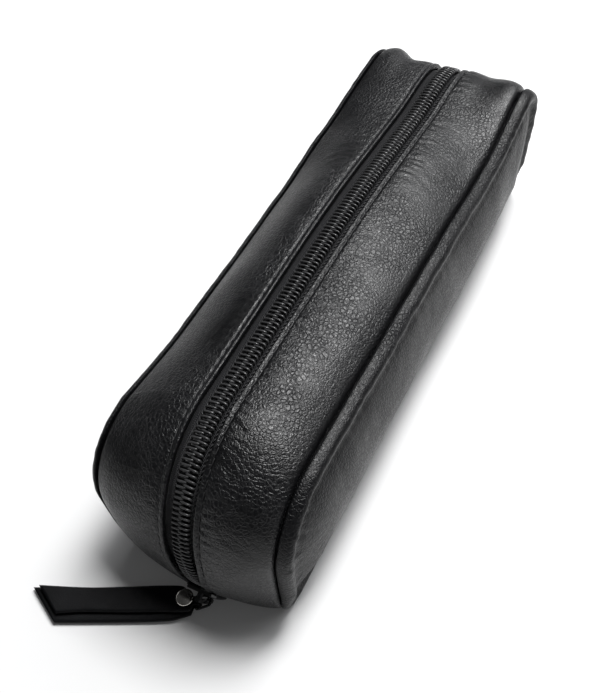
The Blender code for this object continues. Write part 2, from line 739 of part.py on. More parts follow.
def build_zip():
    """Tapes, coils and stops."""
    tape = [
        (TAPE_EDGE_Y, TAPE_OUT),
        (TAPE_MIDDLE_Y[0], TAPE_OUT),
        (TAPE_MIDDLE_Y[1], TAPE_OUT),
        (TAPE_FAR_Y, TAPE_OUT),
        (TAPE_FAR_Y, TAPE_IN),
        (TAPE_MIDDLE_Y[1], TAPE_IN),
        (TAPE_MIDDLE_Y[0], TAPE_IN),
        (TAPE_EDGE_Y, TAPE_IN),
    ]
    coil = [
        (TAPE_EDGE_Y, COIL_UNDER),
        (COIL_OUTER_Y, COIL_UNDER),
        (COIL_OUTER_Y, COIL_SHOULDER),
        (COIL_SHOULDER_Y, COIL_TOP),
        (COIL_RIDGE_Y, COIL_TOP),
        (TAPE_EDGE_Y, COIL_SHOULDER),
    ]
    far_tape_end = RUN_END - FAR_TAPE_SHORT
    far_coil_end = RUN_END - FAR_STOP_Z - FAR_STOP_LENGTH
    for name, side, knots in SIDES:
        vertices, faces = zip_solid(zip_stations(TAPE_END_ANGLE, far_tape_end, 9), side, tape)
        add_soft("zip_tape_" + name, vertices, faces, ZIP_MAT)
        vertices, faces = zip_solid(zip_stations(COIL_END_ANGLE, far_coil_end, 10), side, coil)
        add("zip_coil_" + name, vertices, faces, ZIP_MAT)
        stop = [
            (TAPE_EDGE_Y, COIL_UNDER),
            (COIL_OUTER_Y, COIL_UNDER),
            (COIL_OUTER_Y, STOP_SHOULDER),
            (COIL_SHOULDER_Y, STOP_TOP),
            (TAPE_EDGE_Y, STOP_TOP),
        ]
        ends = [matched("angle", STOP_END_ANGLE), matched("angle", STOP_START_ANGLE)]
        vertices, faces = zip_solid(ends, side, stop)
        add("top_stop_" + name, vertices, faces, NICKEL_MAT, False)
    clip = [
        (-COIL_OUTER_Y, COIL_UNDER),
        (COIL_OUTER_Y, COIL_UNDER),
        (COIL_OUTER_Y, 0.0),
        (COIL_SHOULDER_Y, COIL_TOP),
        (-COIL_SHOULDER_Y, COIL_TOP),
        (-COIL_OUTER_Y, 0.0),
    ]
    start = far_coil_end + GAP
    ends = [matched("run", start), matched("run", start + FAR_STOP_LENGTH)]
    vertices, faces = strip_solid(ends, 1.0, clip)
    add("bottom_stop", vertices, faces, NICKEL_MAT, False)


def build_panels():
    """Front and back panels with their piping, cord, foam and lining."""
    for name, side, knots in SIDES:
        drop = LEATHER
        outer = panel_rings(knots, PANEL_INSET, PANEL_RISE, PANEL_CROWN, side, SEAM_Y, 0.0)
        inner_insets = tuple(i + shift for i, shift in zip(PANEL_INSET, INNER_SHIFT))
        inner = panel_rings(knots, inner_insets, PANEL_RISE, PANEL_CROWN, side, SEAM_Y, drop)
        vertices, faces = domed_sheet(outer, inner)
        add_soft(name + "_panel", vertices, faces, LEATHER_MAT)
        foam_y = SEAM_Y - LEATHER - GAP
        outer = panel_rings(knots, FOAM_INSET, PANEL_RISE, PANEL_CROWN, side, foam_y, 0.0)
        backs = tuple(r * FOAM_BACK_SHARE for r in PANEL_RISE)
        back_crown = PANEL_CROWN * FOAM_BACK_SHARE
        inner = panel_rings(knots, FOAM_INSET, backs, back_crown, side, foam_y, FOAM_THICK)
        vertices, faces = domed_sheet(outer, inner)
        add_soft(name + "_foam", vertices, faces, FOAM_MAT)
        lining_y = foam_y - FOAM_THICK - GAP
        outer = panel_rings(knots, FOAM_INSET, backs, back_crown, side, lining_y, 0.0)
        inner = panel_rings(knots, FOAM_INSET, backs, back_crown, side, lining_y, LINING)
        vertices, faces = domed_sheet(outer, inner)
        add_soft("lining_" + name, vertices, faces, LINING_MAT)
        centre_y = side * (SEAM_Y + GAP + PIPE_RADIUS)
        build_piping(name, knots, centre_y)


def build_piping(name, knots, centre_y):
    """Leather tube round the panel, and the cord that fills it."""
    ring = 8
    outer = []
    inner = []
    cord = []
    for piece, share in LOOP:
        point, normal = seam_point(piece, share, knots)
        centre = point - normal * PIPE_INSET
        for k in range(ring):
            angle = math.pi + 2.0 * math.pi * (k + 0.5) / ring
            out = math.cos(angle)
            over = math.sin(angle)
            for radius, store in (
                (PIPE_RADIUS, outer),
                (CORD_RADIUS + PIPE_WALL_GAP, inner),
                (CORD_RADIUS, cord),
            ):
                flat = centre + normal * out * radius
                store.append((flat[0], centre_y + over * radius, flat[1]))
    count = len(LOOP)
    open_sides = 7
    vertices = outer + inner
    faces = []
    shift = len(outer)
    for i in range(count):
        n = (i + 1) % count
        for j in range(open_sides):
            k = (j + 1) % ring
            faces.append((i * ring + j, i * ring + k, n * ring + k, n * ring + j))
            faces.append((shift + i * ring + k, shift + i * ring + j, shift + n * ring + j, shift + n * ring + k))
        for j in (0, open_sides % ring):
            a = (i * ring + j, n * ring + j, shift + n * ring + j, shift + i * ring + j)
            faces.append(a[::-1] if j else a)
    add_soft(name + "_piping", vertices, faces, LEATHER_MAT)
    add_soft(name + "_piping_cord", cord, tube_faces(count, ring, True), BOARD_MAT)


def base_end_x(y, angle, end):
    """Base edge point at one end, between the flat middle and the seam's rounded corner."""
    share = 1.0 - crown(y)
    side = -1.0 if end < 0 else 1.0
    centre = np.array((side * (HALF_LENGTH - BOTTOM_RADIUS), BOTTOM_RADIUS))
    normal = np.array((side * math.cos(angle), -math.sin(angle)))
    corner = centre + BOTTOM_RADIUS * normal
    reach = (angle - math.pi * 0.5) / (BASE_CORNER_ANGLE - math.pi * 0.5)
    flat_x = side * (abs(centre[0]) + (BASE_END - abs(centre[0])) * reach)
    flat = np.array((flat_x, 0.0))
    up = unit(np.array((0.0, -1.0)) * (1.0 - share) + normal * share)
    return flat * (1.0 - share) + corner * share, up


def build_base():
    """Leather base, board and base lining."""
    right = [FOLD_Y, BASE_COLUMNS[1], BASE_COLUMNS[0], SEAM_Y]
    columns = [-y for y in right[::-1]] + right
    angles = list(np.linspace(BASE_CORNER_ANGLE, math.pi * 0.5, 4))
    stations = [(-1, a) for a in angles] + [(0, -BASE_MIDDLE_X), (0, 0.0), (0, BASE_MIDDLE_X)] + [(1, a) for a in angles[::-1]]
    vertices = []
    for kind, value in stations:
        low = []
        high = []
        for y in columns:
            if kind:
                point, normal = base_end_x(y, value, kind)
            else:
                point = np.array((value, 0.0))
                normal = np.array((0.0, -1.0))
            top = point - normal * LEATHER
            low.append((point[0], y, point[1]))
            high.append((top[0], y, top[1]))
        vertices += low + high[::-1]
    add_soft("base_leather", vertices, tube_faces(len(stations), 2 * len(columns), False), LEATHER_MAT)
    for name, half_x, half_y, low, high, material in (
        ("base_board", BOARD_HALF_X, BOARD_HALF_Y, BOARD_LOW, BOARD_HIGH, BOARD_MAT),
        ("lining_base", BASE_LINING_HALF_X, BASE_LINING_HALF_Y, BASE_LINING_LOW, BASE_LINING_HIGH, LINING_MAT),
    ):
        outline = []
        for cx, cy, start in ((1, 1, 0.0), (-1, 1, 0.5), (-1, -1, 1.0), (1, -1, 1.5)):
            for k in range(4):
                angle = math.pi * (start + k / 6.0)
                x = cx * (half_x - BOARD_CORNER) + BOARD_CORNER * math.cos(angle)
                y = cy * (half_y - BOARD_CORNER) + BOARD_CORNER * math.sin(angle)
                outline.append((x, y))
        vertices = [(x, y, low) for x, y in outline] + [(x, y, high) for x, y in outline]
        add_soft(name, vertices, tube_faces(2, len(outline), False), material, False)


def build_gusset_lining():
    """Lining strips under the gussets, from one side of the base over to the other."""
    keep = [s for s in STRIP if lining_height(s) > LINING_END_Z]
    for name, side, knots in SIDES:
        section = [(y, GUSSET_LINING_TOP) for y in GUSSET_LINING_Y]
        section += [(y, GUSSET_LINING_IN) for y in GUSSET_LINING_Y[::-1]]
        vertices, faces = strip_solid(keep, side, section)
        add_soft("lining_gusset_" + name, vertices, faces, LINING_MAT)


def lining_height(station):
    """Lowest height that a lining strip reaches at a station."""
    return min(skin_point(station, -y, GUSSET_LINING_IN)[2] for y in GUSSET_LINING_Y)


SLIDER_PIVOT = (ARC_X, ARC_Y, ARC_Z)


def build_slider():
    """Slider with two plates, side flanges, wedge and bail in one piece."""
    vertices, faces = plate(PLATE_OVER, PLATE_OVER_TOP, 7)
    body = add("slider", vertices, faces, ENAMEL_MAT, False, SLIDER_PIVOT)
    parts = [plate(PLATE_UNDER, PLATE_UNDER_TOP, 7), neck_block()]
    inner = FLANGE_INNER_Y
    outer = SLIDER_HALF_WIDTH - FLANGE_INSET
    run = SLIDER_HALF - PLATE_DRAW
    for sign in (-1.0, 1.0):
        y_low, y_high = sorted((sign * inner, sign * outer))
        parts.append(arc_block(-run, run, FLANGE_LOW, PLATE_OVER + SINK, y_low, y_high, 4))
    width = BAIL_HALF_WIDTH
    foot = PLATE_OVER_TOP - SINK
    parts.append(arc_block(-BAIL_HALF, -BAIL_HALF + BAIL_LEG, foot, BAIL_TOP - SINK, -width + SINK, width - SINK, 2))
    parts.append(arc_block(BAIL_HALF - BAIL_LEG, BAIL_HALF, foot, BAIL_TOP - SINK, -width + SINK, width - SINK, 2))
    parts.append(arc_block(-BAIL_HALF - SINK, BAIL_HALF + SINK, BAIL_HOLE_TOP, BAIL_TOP, -width, width, 6))
    for vertices, faces in parts:
        piece = add("piece", vertices, faces, ENAMEL_MAT, False, SLIDER_PIVOT)
        cut(body, piece, "UNION")
    return body


LINK_CENTRE = ARC_CENTRE + LINK_RADIUS * arc_out(LINK_ANGLE)
PULL_AHEAD = np.array((PULL_HEADING[0], PULL_HEADING[1], 0.0))
PULL_SIDE = np.array((PULL_HEADING[1], -PULL_HEADING[0], 0.0))
PULL_ROOT = LINK_CENTRE + LINK_REACH * PULL_AHEAD - np.array((0.0, 0.0, LINK_DROP))
RIVET_X = PULL_ROOT[0] + RIVET_FROM_ROOT[0]
RIVET_Y = PULL_ROOT[1] + RIVET_FROM_ROOT[1]


def link_path():
    """Middle line of the link: narrow at the bail, wider where the pull hangs."""
    corners = [
        (-LINK_HALF_NEAR, -LINK_BACK),
        (LINK_HALF_NEAR, -LINK_BACK),
        (LINK_HALF_FAR, LINK_REACH),
        (-LINK_HALF_FAR, LINK_REACH),
    ]
    path = []
    for i, corner in enumerate(corners):
        here = np.array(corner)
        before = unit(np.array(corners[i - 1]) - here)
        after = unit(np.array(corners[(i + 1) % 4]) - here)
        for t in (0.0, 0.33, 0.67, 1.0):
            a = here + before * LINK_CORNER
            b = here + after * LINK_CORNER
            flat = (1.0 - t) ** 2 * a + 2.0 * t * (1.0 - t) * here + t * t * b
            drop = LINK_DROP * flat[1] / LINK_REACH
            point = LINK_CENTRE + flat[0] * PULL_SIDE + flat[1] * PULL_AHEAD
            path.append(point - np.array((0.0, 0.0, drop)))
    return path


def build_link():
    vertices, faces = sweep(link_path(), LINK_WIRE, 8, True)
    add("pull_link", vertices, faces, ENAMEL_MAT, True, tuple(LINK_CENTRE))


# Far edge x and y, near edge x and y, and the height of the under face, all from the pull's root, tip first or last
LOWER_EDGES = (
    (-16.778 * MM, 47.472 * MM, -22.878 * MM, 35.272 * MM, -1.918 * MM),
    (-10.678 * MM, 34.072 * MM, -19.278 * MM, 27.672 * MM, -1.918 * MM),
    (-5.078 * MM, 21.772 * MM, -13.578 * MM, 15.772 * MM, -1.818 * MM),
    (-0.278 * MM, 10.372 * MM, -8.278 * MM, 5.172 * MM, -1.518 * MM),
    (1.722 * MM, 5.172 * MM, -5.278 * MM, 1.172 * MM, -1.468 * MM),
    (0.722 * MM, 2.772 * MM, -2.878 * MM, 0.972 * MM, -1.568 * MM),
)
UPPER_EDGES = (
    (0.722 * MM, 2.772 * MM, -2.678 * MM, 1.072 * MM, 0.732 * MM),
    (1.922 * MM, 5.272 * MM, -4.578 * MM, 1.972 * MM, 0.532 * MM),
    (-0.078 * MM, 10.772 * MM, -6.878 * MM, 6.972 * MM, 0.382 * MM),
    (-4.878 * MM, 20.572 * MM, -11.678 * MM, 17.172 * MM, -0.018 * MM),
    (-10.278 * MM, 31.672 * MM, -16.878 * MM, 28.572 * MM, -0.118 * MM),
    (-15.878 * MM, 45.372 * MM, -20.678 * MM, 35.572 * MM, -0.118 * MM),
)


def strap_ring(edges, over):
    """Four corners of the strap's section, under face first unless over is set."""
    far_x, far_y, near_x, near_y, low = edges
    far = PULL_ROOT + np.array((far_x, far_y, low))
    near = PULL_ROOT + np.array((near_x, near_y, low))
    up = np.array((0.0, 0.0, PULL_THICK))
    if over:
        return [tuple(far + up), tuple(near + up), tuple(near), tuple(far)]
    return [tuple(far), tuple(near), tuple(near + up), tuple(far + up)]


def build_pull():
    """Leather pull: one strip doubled round the link, with the rivet's hole through both layers."""
    vertices = []
    rings = 0
    for edges in LOWER_EDGES:
        vertices += strap_ring(edges, False)
        rings += 1
    for degrees in (-60.0, -100.0, -140.0, -180.0, -220.0, -260.0, -300.0):
        angle = math.radians(degrees)
        out = math.cos(angle) * PULL_AHEAD + math.sin(angle) * np.array((0.0, 0.0, 1.0))
        outer = PULL_ROOT + (PULL_LOOP + PULL_NECK_THICK) * out
        inner = PULL_ROOT + PULL_LOOP * out
        half = PULL_NECK_HALF * PULL_SIDE
        vertices += [tuple(outer + half), tuple(outer - half), tuple(inner - half), tuple(inner + half)]
        rings += 1
    for edges in UPPER_EDGES:
        vertices += strap_ring(edges, True)
        rings += 1
    body = add("pull_strap", vertices, tube_faces(rings, 4, False), EDGE_MAT, False, tuple(PULL_ROOT))
    hole = []
    for z in (PULL_ROOT[2] - HOLE_BELOW, PULL_ROOT[2] + HOLE_ABOVE):
        for k in range(12):
            angle = 2.0 * math.pi * k / 12
            hole.append((RIVET_X + RIVET_HOLE * math.cos(angle), RIVET_Y + RIVET_HOLE * math.sin(angle), z))
    cutter = add("hole", hole, tube_faces(2, 12, False), EDGE_MAT, False)
    cut(body, cutter)
    return body


CAP_FOOT = PULL_ROOT[2] + CAP_RISE
BACK_FOOT = PULL_ROOT[2] - BACK_DROP


def build_rivet():
    """Domed cap and post in one piece, with a separate back washer."""
    vertices, faces = dome((RIVET_X, RIVET_Y, CAP_FOOT), RIVET_CAP, RIVET_CAP_RISE, RIVET_RIM, 14, 3, False)
    cap = add("rivet_cap", vertices, faces, NICKEL_MAT, True, (RIVET_X, RIVET_Y, CAP_FOOT))
    post = []
    for z in (BACK_FOOT + GAP, CAP_FOOT + RIVET_RIM):
        for k in range(10):
            angle = 2.0 * math.pi * k / 10
            post.append((RIVET_X + RIVET_POST * math.cos(angle), RIVET_Y + RIVET_POST * math.sin(angle), z))
    piece = add("piece", post, tube_faces(2, 10, False), NICKEL_MAT, True)
    cut(cap, piece, "UNION")
    vertices, faces = dome((RIVET_X, RIVET_Y, BACK_FOOT), RIVET_BACK, RIVET_BACK_THICK * 0.5, RIVET_BACK_THICK * 0.5, 12, 2, True)
    add("rivet_back", vertices, faces, NICKEL_MAT, True, (RIVET_X, RIVET_Y, BACK_FOOT))


def main():
    for old in list(bpy.data.objects):
        bpy.data.objects.remove(old, do_unlink=True)
    build_gussets()
    build_zip()
    build_panels()
    build_base()
    build_gusset_lining()
    build_slider()
    build_link()
    build_pull()
    build_rivet()


main()
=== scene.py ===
"""Soft black leather zip bag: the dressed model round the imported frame, laid out as an add-on."""

import math

import bmesh
import bpy
import numpy as np
from mathutils import Matrix


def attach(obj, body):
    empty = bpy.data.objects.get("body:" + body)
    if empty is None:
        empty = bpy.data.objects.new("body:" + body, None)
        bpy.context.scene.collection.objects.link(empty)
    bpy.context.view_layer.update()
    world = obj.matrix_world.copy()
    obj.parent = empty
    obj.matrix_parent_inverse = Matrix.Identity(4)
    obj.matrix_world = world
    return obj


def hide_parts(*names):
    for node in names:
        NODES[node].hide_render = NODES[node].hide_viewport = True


bl_info = {
    "name": "Leather zip bag",
    "version": (1, 0, 0),
    "blender": (4, 5, 0),
    "location": "View3D > Sidebar > Zip bag",
    "description": "Builds a soft leather zip bag round its packed frame",
    "category": "Object",
}

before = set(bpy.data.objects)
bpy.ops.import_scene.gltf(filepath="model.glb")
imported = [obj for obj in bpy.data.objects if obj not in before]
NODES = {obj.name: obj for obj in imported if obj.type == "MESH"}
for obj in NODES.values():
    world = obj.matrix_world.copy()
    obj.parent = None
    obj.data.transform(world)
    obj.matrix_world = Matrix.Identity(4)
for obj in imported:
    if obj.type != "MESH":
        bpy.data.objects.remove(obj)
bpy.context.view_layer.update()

MM = 0.001

# Seam outline, as in the solids
HALF_LENGTH = 93.5 * MM
SEAM_HEIGHT = 50.0 * MM
NEAR_TOP_RADIUS = 23.0 * MM
FAR_TOP_RADIUS = 13.0 * MM
BOTTOM_RADIUS = 7.0 * MM
SEAM_Y = 27.3 * MM
MIDDLE_X = 68.0 * MM
MIDDLE_Z = 25.0 * MM
SQUARE_INSET = 5.0 * MM
WAVE_STEP = 30.0 * MM
FRONT_WAVE = np.array((0.6, 0.5, 0.3, 0.0, -1.8, -1.6)) * MM
BACK_WAVE = np.array((-2.2, -4.6, -4.4, -3.4, -1.0, 0.6)) * MM

# How the soft bag settles, as in the solids
LEAN = (1.7 * MM, 4.3 * MM)
LEAN_HEIGHT = 42.0 * MM
DRAW_FAR = 3.0 * MM
SIDE_START_Y = 13.0 * MM
SIDE_BLEND = 14.0 * MM
FAR_START_X = 50.0 * MM
FAR_BLEND = 43.0 * MM
FAR_OUT = (-2.0 * MM, 6.5 * MM)
FAR_RISE = (6.0 * MM, 1.5 * MM)
LOW_OUT = 0.35

# Zip line, as in the solids
ARC_X = -64.5 * MM
CREST_TOP = 57.0 * MM
CREST_RADIUS = 36.0 * MM
TILT = math.radians(4.7)
TILT_FADE = 60.0 * MM
END_ANGLE = math.radians(-34.5)
CREST = np.array((
    (-64.5, 57.0), (-40.0, 57.2), (20.0, 57.0), (46.0, 54.8), (64.0, 53.4),
    (76.0, 53.6), (84.0, 52.9), (90.0, 51.0), (94.2, 47.2), (96.6, 41.6),
    (97.6, 34.2), (97.8, 25.0), (97.3, 14.0), (96.2, 6.5), (94.2, 0.7),
)) * MM
# Places of the crest that lie across from the seam's corners
NEAR_ANGLES = (-24.0, 10.0)
TOP_END_X = 81.0 * MM
CORNER_END_Z = 37.0 * MM
FAR_CORNER_LENGTH = 6.0 * MM
KEY_BLUR = 0.008

# Leather, folds, stitches and coil
FOLD_Y = 5.4 * MM
FOLD_LEATHER = 1.7 * MM
LEATHER = 1.2 * MM
CROWN_POWER = 2.2
BACK_SPREAD = 2.1 * MM
SPREAD_START_Y = 14.0 * MM
FOLD_EDGE = {-1.0: 4.5 * MM, 1.0: 5.3 * MM}
STITCH_FROM_FOLD = {-1.0: 1.6 * MM, 1.0: 1.7 * MM}
STITCH_PITCH = 3.0 * MM
STITCH_SIZE = (2.5 * MM, 0.42 * MM, 0.36 * MM)
FOLD_ROUND = 0.6 * MM
LIP_WIDTH = 1.6 * MM
SEAM_ROUND = 1.5 * MM
CLOSE_SHIFT = 1.7 * MM
CLOSE_RISE = 0.4 * MM
CLOSE_REACH = 8.0 * MM
COIL_PITCH = 1.5 * MM
COIL_STITCH_SIZE = (1.25 * MM, 0.42 * MM, 0.4 * MM)


# Number helpers
def smooth_step(value):
    """Zero below 0, one above 1, and 3v^2 - 2v^3 between."""
    value = np.clip(value, 0.0, 1.0)
    return value * value * (3.0 - 2.0 * value)


def unit(vectors):
    """Each vector divided by its length."""
    return vectors / np.linalg.norm(vectors, axis=-1, keepdims=True)


def joined(*parts):
    """Arrays spread to one shape and stacked along a new last axis."""
    return np.stack(np.broadcast_arrays(*parts), axis=-1)


def full_turn(count):
    """Evenly spread angles of a whole turn."""
    return np.linspace(0.0, 2.0 * math.pi, count, endpoint=False)


def outward(along):
    """Each direction of a line in x and z turned a quarter to its outer side."""
    return joined(-along[:, 1], along[:, 0])


def hashed(ix, iy, iz, seed):
    """A repeatable value from -1 to 1 for each whole-number lattice point."""
    h = (ix * 374761393 + iy * 668265263 + iz * 2147483647 + seed * 974634777) & 0xFFFFFFFF
    h = ((h ^ (h >> 13)) * 1274126177) & 0xFFFFFFFF
    h = (h ^ (h >> 16)) & 0xFFFF
    return h / 32767.5 - 1.0


def value_noise(points, size, seed):
    """Smooth noise from -1 to 1: hashed lattice values, blended by smooth steps along each axis."""
    scaled = points / size
    cell = np.floor(scaled).astype(np.int64)
    part = scaled - cell
    part = part * part * (3.0 - 2.0 * part)
    total = 0.0
    for dx in (0, 1):
        for dy in (0, 1):
            for dz in (0, 1):
                weight = np.abs(1 - dx - part[..., 0]) * np.abs(1 - dy - part[..., 1])
                weight = weight * np.abs(1 - dz - part[..., 2])
                total = total + weight * hashed(cell[..., 0] + dx, cell[..., 1] + dy, cell[..., 2] + dz, seed)
    return total


def rolling_noise(points, size, seed, octaves):
    """Noise at one size plus half as much at half the size, and so on."""
    return sum(value_noise(points, size / 2**k, seed + k) / 2**k for k in range(octaves))


def spline(knots, count):
    """Catmull-Rom curve through the knots, as count points."""
    last = len(knots) - 1
    place = np.linspace(0.0, last, count)
    cell = np.minimum(place.astype(int), last - 1)
    t = (place - cell)[:, None]
    padded = np.vstack([2 * knots[0] - knots[1], knots, 2 * knots[-1] - knots[-2]])
    a, b, c, d = (padded[cell + k] for k in range(4))
    return 0.5 * (2 * b + (c - a) * t + (2 * a - 5 * b + 4 * c - d) * t**2 + (3 * b - a - 3 * c + d) * t**3)


def run_of(points):
    """Length along a polyline up to each of its points."""
    steps = np.linalg.norm(np.diff(points, axis=0), axis=1)
    return np.concatenate([[0.0], np.cumsum(steps)])


def at_run(points, run, wanted):
    """Points of a polyline at the wanted lengths along it."""
    return np.stack([np.interp(wanted, run, points[:, k]) for k in range(points.shape[1])], axis=1)


def blurred(values, width):
    """Values averaged over a bell of the given half width in samples, ends held."""
    reach = int(3 * width)
    weights = np.exp(-0.5 * (np.arange(-reach, reach + 1) / width) ** 2)
    return np.convolve(np.pad(values, reach, "edge"), weights / weights.sum(), "valid")


# Mesh helpers
def mesh_object(name, points, quads, material, smooth=True, uv=None, triangles=()):
    """A mesh of quads and triangles, turned to face outward; uv gives one pair for each point."""
    points = np.asarray(points, np.float32)
    triangles = np.asarray(triangles, int).reshape(-1, 3)
    loops = np.concatenate([quads.ravel(), triangles.ravel()]).astype(np.int32)
    starts = np.concatenate([np.arange(len(quads)) * 4, quads.size + np.arange(len(triangles)) * 3])
    mesh = bpy.data.meshes.new(name)
    mesh.vertices.add(len(points))
    mesh.vertices.foreach_set("co", points.ravel())
    mesh.loops.add(len(loops))
    mesh.loops.foreach_set("vertex_index", loops)
    mesh.polygons.add(len(starts))
    mesh.polygons.foreach_set("loop_start", starts.astype(np.int32))
    mesh.polygons.foreach_set("use_smooth", np.full(len(starts), smooth))
    if uv is not None:
        layer = mesh.uv_layers.new(name="UVMap")
        layer.data.foreach_set("uv", np.asarray(uv, np.float32)[loops].ravel())
    mesh.update()
    mesh.validate()
    if volume_inside(points, np.vstack([quads[:, :3], quads[:, (0, 2, 3)], triangles])) < 0.0:
        mesh.flip_normals()
    piece = bpy.data.objects.new(name, mesh)
    bpy.context.scene.collection.objects.link(piece)
    mesh.materials.append(material)
    return piece


def volume_inside(points, triangles):
    """Signed volume of a closed mesh: a sum of the tetrahedra from its middle to each triangle."""
    moved = points.astype(float) - points.mean(axis=0)
    a, b, c = (moved[triangles[:, k]] for k in range(3))
    return np.einsum("ij,ij->i", a, np.cross(b, c)).sum() / 6.0


def grid_faces(rows, columns):
    """Quads of a rows by columns grid, each row joined round."""
    r, c = np.meshgrid(np.arange(rows - 1) * columns, np.arange(columns), indexing="ij")
    c2 = (c + 1) % columns
    return joined(r + c, r + c2, r + columns + c2, r + columns + c).reshape(-1, 4)


def tube_object(name, sections, material, uv=None):
    """Solid from sections of shape (stations, points, 3), joined in turn, with a fan over each end."""
    rows, columns = sections.shape[:2]
    j = np.arange(columns)
    k = (j + 1) % columns
    stop = rows * columns
    last = stop - columns
    caps = [joined(k, j, stop), joined(j + last, k + last, stop + 1)]
    points = np.vstack([sections.reshape(-1, 3), sections[0].mean(axis=0), sections[-1].mean(axis=0)])
    if uv is not None:
        uv = np.vstack([uv, uv[:columns].mean(axis=0), uv[-columns:].mean(axis=0)])
    return mesh_object(name, points, grid_faces(rows, columns), material, True, uv, np.vstack(caps))


def swept(path, ups, radius, sides):
    """Round sections along a path: each ring lies square to it, turned by the up directions."""
    along = unit(np.gradient(path, axis=0))
    across = unit(np.cross(along, ups))
    over = np.cross(across, along)
    angle = full_turn(sides)[:, None]
    ring = np.cos(angle) * across[:, None] + np.sin(angle) * over[:, None]
    return path[:, None] + radius[:, None, None] * ring


def many(name, unit_points, unit_faces, places, material):
    """One mesh of many copies of a small shape: places is (count, 4, 3), three axes and a middle each."""
    points = np.einsum("pk,nkd->npd", unit_points, places[:, :3]) + places[:, 3][:, None]
    count, each = points.shape[:2]
    faces = unit_faces[None] + (np.arange(count) * each)[:, None, None]
    return mesh_object(name, points.reshape(-1, 3), faces.reshape(-1, 4), material)


def capsule():
    """Small rounded bar along its first axis, 1 long and 1 across, closed at both ends."""
    rings, sides = 5, 6
    angle = np.linspace(0.0, math.pi, rings + 2)[1:-1]
    turn = full_turn(sides)
    radius = 0.5 * np.sin(angle)[:, None] ** 0.6
    rows = joined(-0.5 * np.cos(angle)[:, None], radius * np.cos(turn), radius * np.sin(turn))
    points = np.vstack([rows.reshape(-1, 3), (-0.5, 0, 0), (0.5, 0, 0)])
    j = np.arange(0, sides, 2)
    first = rings * sides
    base = first - sides
    start = joined(first, (j + 2) % sides, j + 1, j)
    stop = joined(first + 1, base + j, base + j + 1, base + (j + 2) % sides)
    return points, np.vstack([grid_faces(rings, sides), start, stop])


# The bag's own curves
def wave(x, knots):
    """Height change of a seam's top edge: smooth steps between values a fixed way apart."""
    first = -WAVE_STEP * (len(knots) - 1) / 2.0
    place = np.clip((x - first) / WAVE_STEP, 0.0, len(knots) - 1.0)
    low = np.minimum(place.astype(int), len(knots) - 2)
    share = smooth_step(place - low)
    return knots[low] * (1.0 - share) + knots[low + 1] * share


def arc(centre, radius, start, stop, count=60):
    """Points of a circle's arc between two angles in degrees."""
    angle = np.radians(np.linspace(start, stop, count))
    return joined(centre[0] + radius * np.cos(angle), centre[1] + radius * np.sin(angle))


def top_half(knots):
    """Seam outline from the middle of the near end over the top to the middle of the far end."""
    near = (-HALF_LENGTH + NEAR_TOP_RADIUS, SEAM_HEIGHT - NEAR_TOP_RADIUS)
    far = (HALF_LENGTH - FAR_TOP_RADIUS, SEAM_HEIGHT - FAR_TOP_RADIUS)
    rise = arc(near, NEAR_TOP_RADIUS, 180.0, 90.0)
    rise[:, 1] += knots[0] * smooth_step(np.linspace(0.0, 1.0, len(rise)))
    top_x = np.linspace(near[0], far[0], 240)
    top = joined(top_x, SEAM_HEIGHT + wave(top_x, knots))
    fall = arc(far, FAR_TOP_RADIUS, 90.0, 0.0)
    fall[:, 1] += knots[-1] * smooth_step(np.linspace(1.0, 0.0, len(fall)))
    return np.vstack([(-HALF_LENGTH, MIDDLE_Z), rise, top[1:-1], fall, (HALF_LENGTH, MIDDLE_Z)])


def low_half():
    """Seam outline from the middle of the far end under the base to the middle of the near end."""
    far = arc((HALF_LENGTH - BOTTOM_RADIUS, BOTTOM_RADIUS), BOTTOM_RADIUS, 0.0, -90.0)
    near = arc((-HALF_LENGTH + BOTTOM_RADIUS, BOTTOM_RADIUS), BOTTOM_RADIUS, -90.0, -180.0)
    return np.vstack([(HALF_LENGTH, MIDDLE_Z), far, near, (-HALF_LENGTH, MIDDLE_Z)])


def seam_loop(knots, half):
    """Closed seam outline of 2 * half stations, with its outward normals and middle-line targets."""
    parts = []
    for line in (top_half(knots), low_half()):
        run = run_of(line)
        parts.append(at_run(line, run, np.linspace(0.0, run[-1], half + 1))[:-1])
    loop = np.vstack(parts)
    along = unit(np.roll(loop, -1, axis=0) - np.roll(loop, 1, axis=0))
    partner = -np.arange(len(loop))
    target_x = np.clip(0.5 * (loop[:, 0] + loop[partner, 0]), -MIDDLE_X, MIDDLE_X)
    return loop, outward(along), joined(target_x, MIDDLE_Z)


def crest_curve():
    """Fine points of the zip's crest past the end arc, with their run."""
    knots, run = CREST, run_of(CREST)
    slopes = np.gradient(knots, run, axis=0)
    slopes[0] = (1.0, 0.0)
    t = np.linspace(0.0, 1.0, 17)[:-1, None]
    fine = []
    for i in range(len(knots) - 1):
        width = run[i + 1] - run[i]
        fine.append(
            (2 * t**3 - 3 * t**2 + 1) * knots[i]
            + (t**3 - 2 * t**2 + t) * width * slopes[i]
            + (3 * t**2 - 2 * t**3) * knots[i + 1]
            + (t**3 - t**2) * width * slopes[i + 1]
        )
    line = np.vstack(fine + [knots[-1:]])
    return line, run_of(line)


CREST_LINE, CREST_RUN = crest_curve()
ARC_LENGTH = math.pi * 0.5 * CREST_RADIUS
KEY_START = END_ANGLE * CREST_RADIUS
KEY_END = ARC_LENGTH + CREST_RUN[-1]
ARC_CENTRE = np.array((ARC_X, -CREST_RADIUS * math.sin(TILT), CREST_TOP - CREST_RADIUS * math.cos(TILT)))


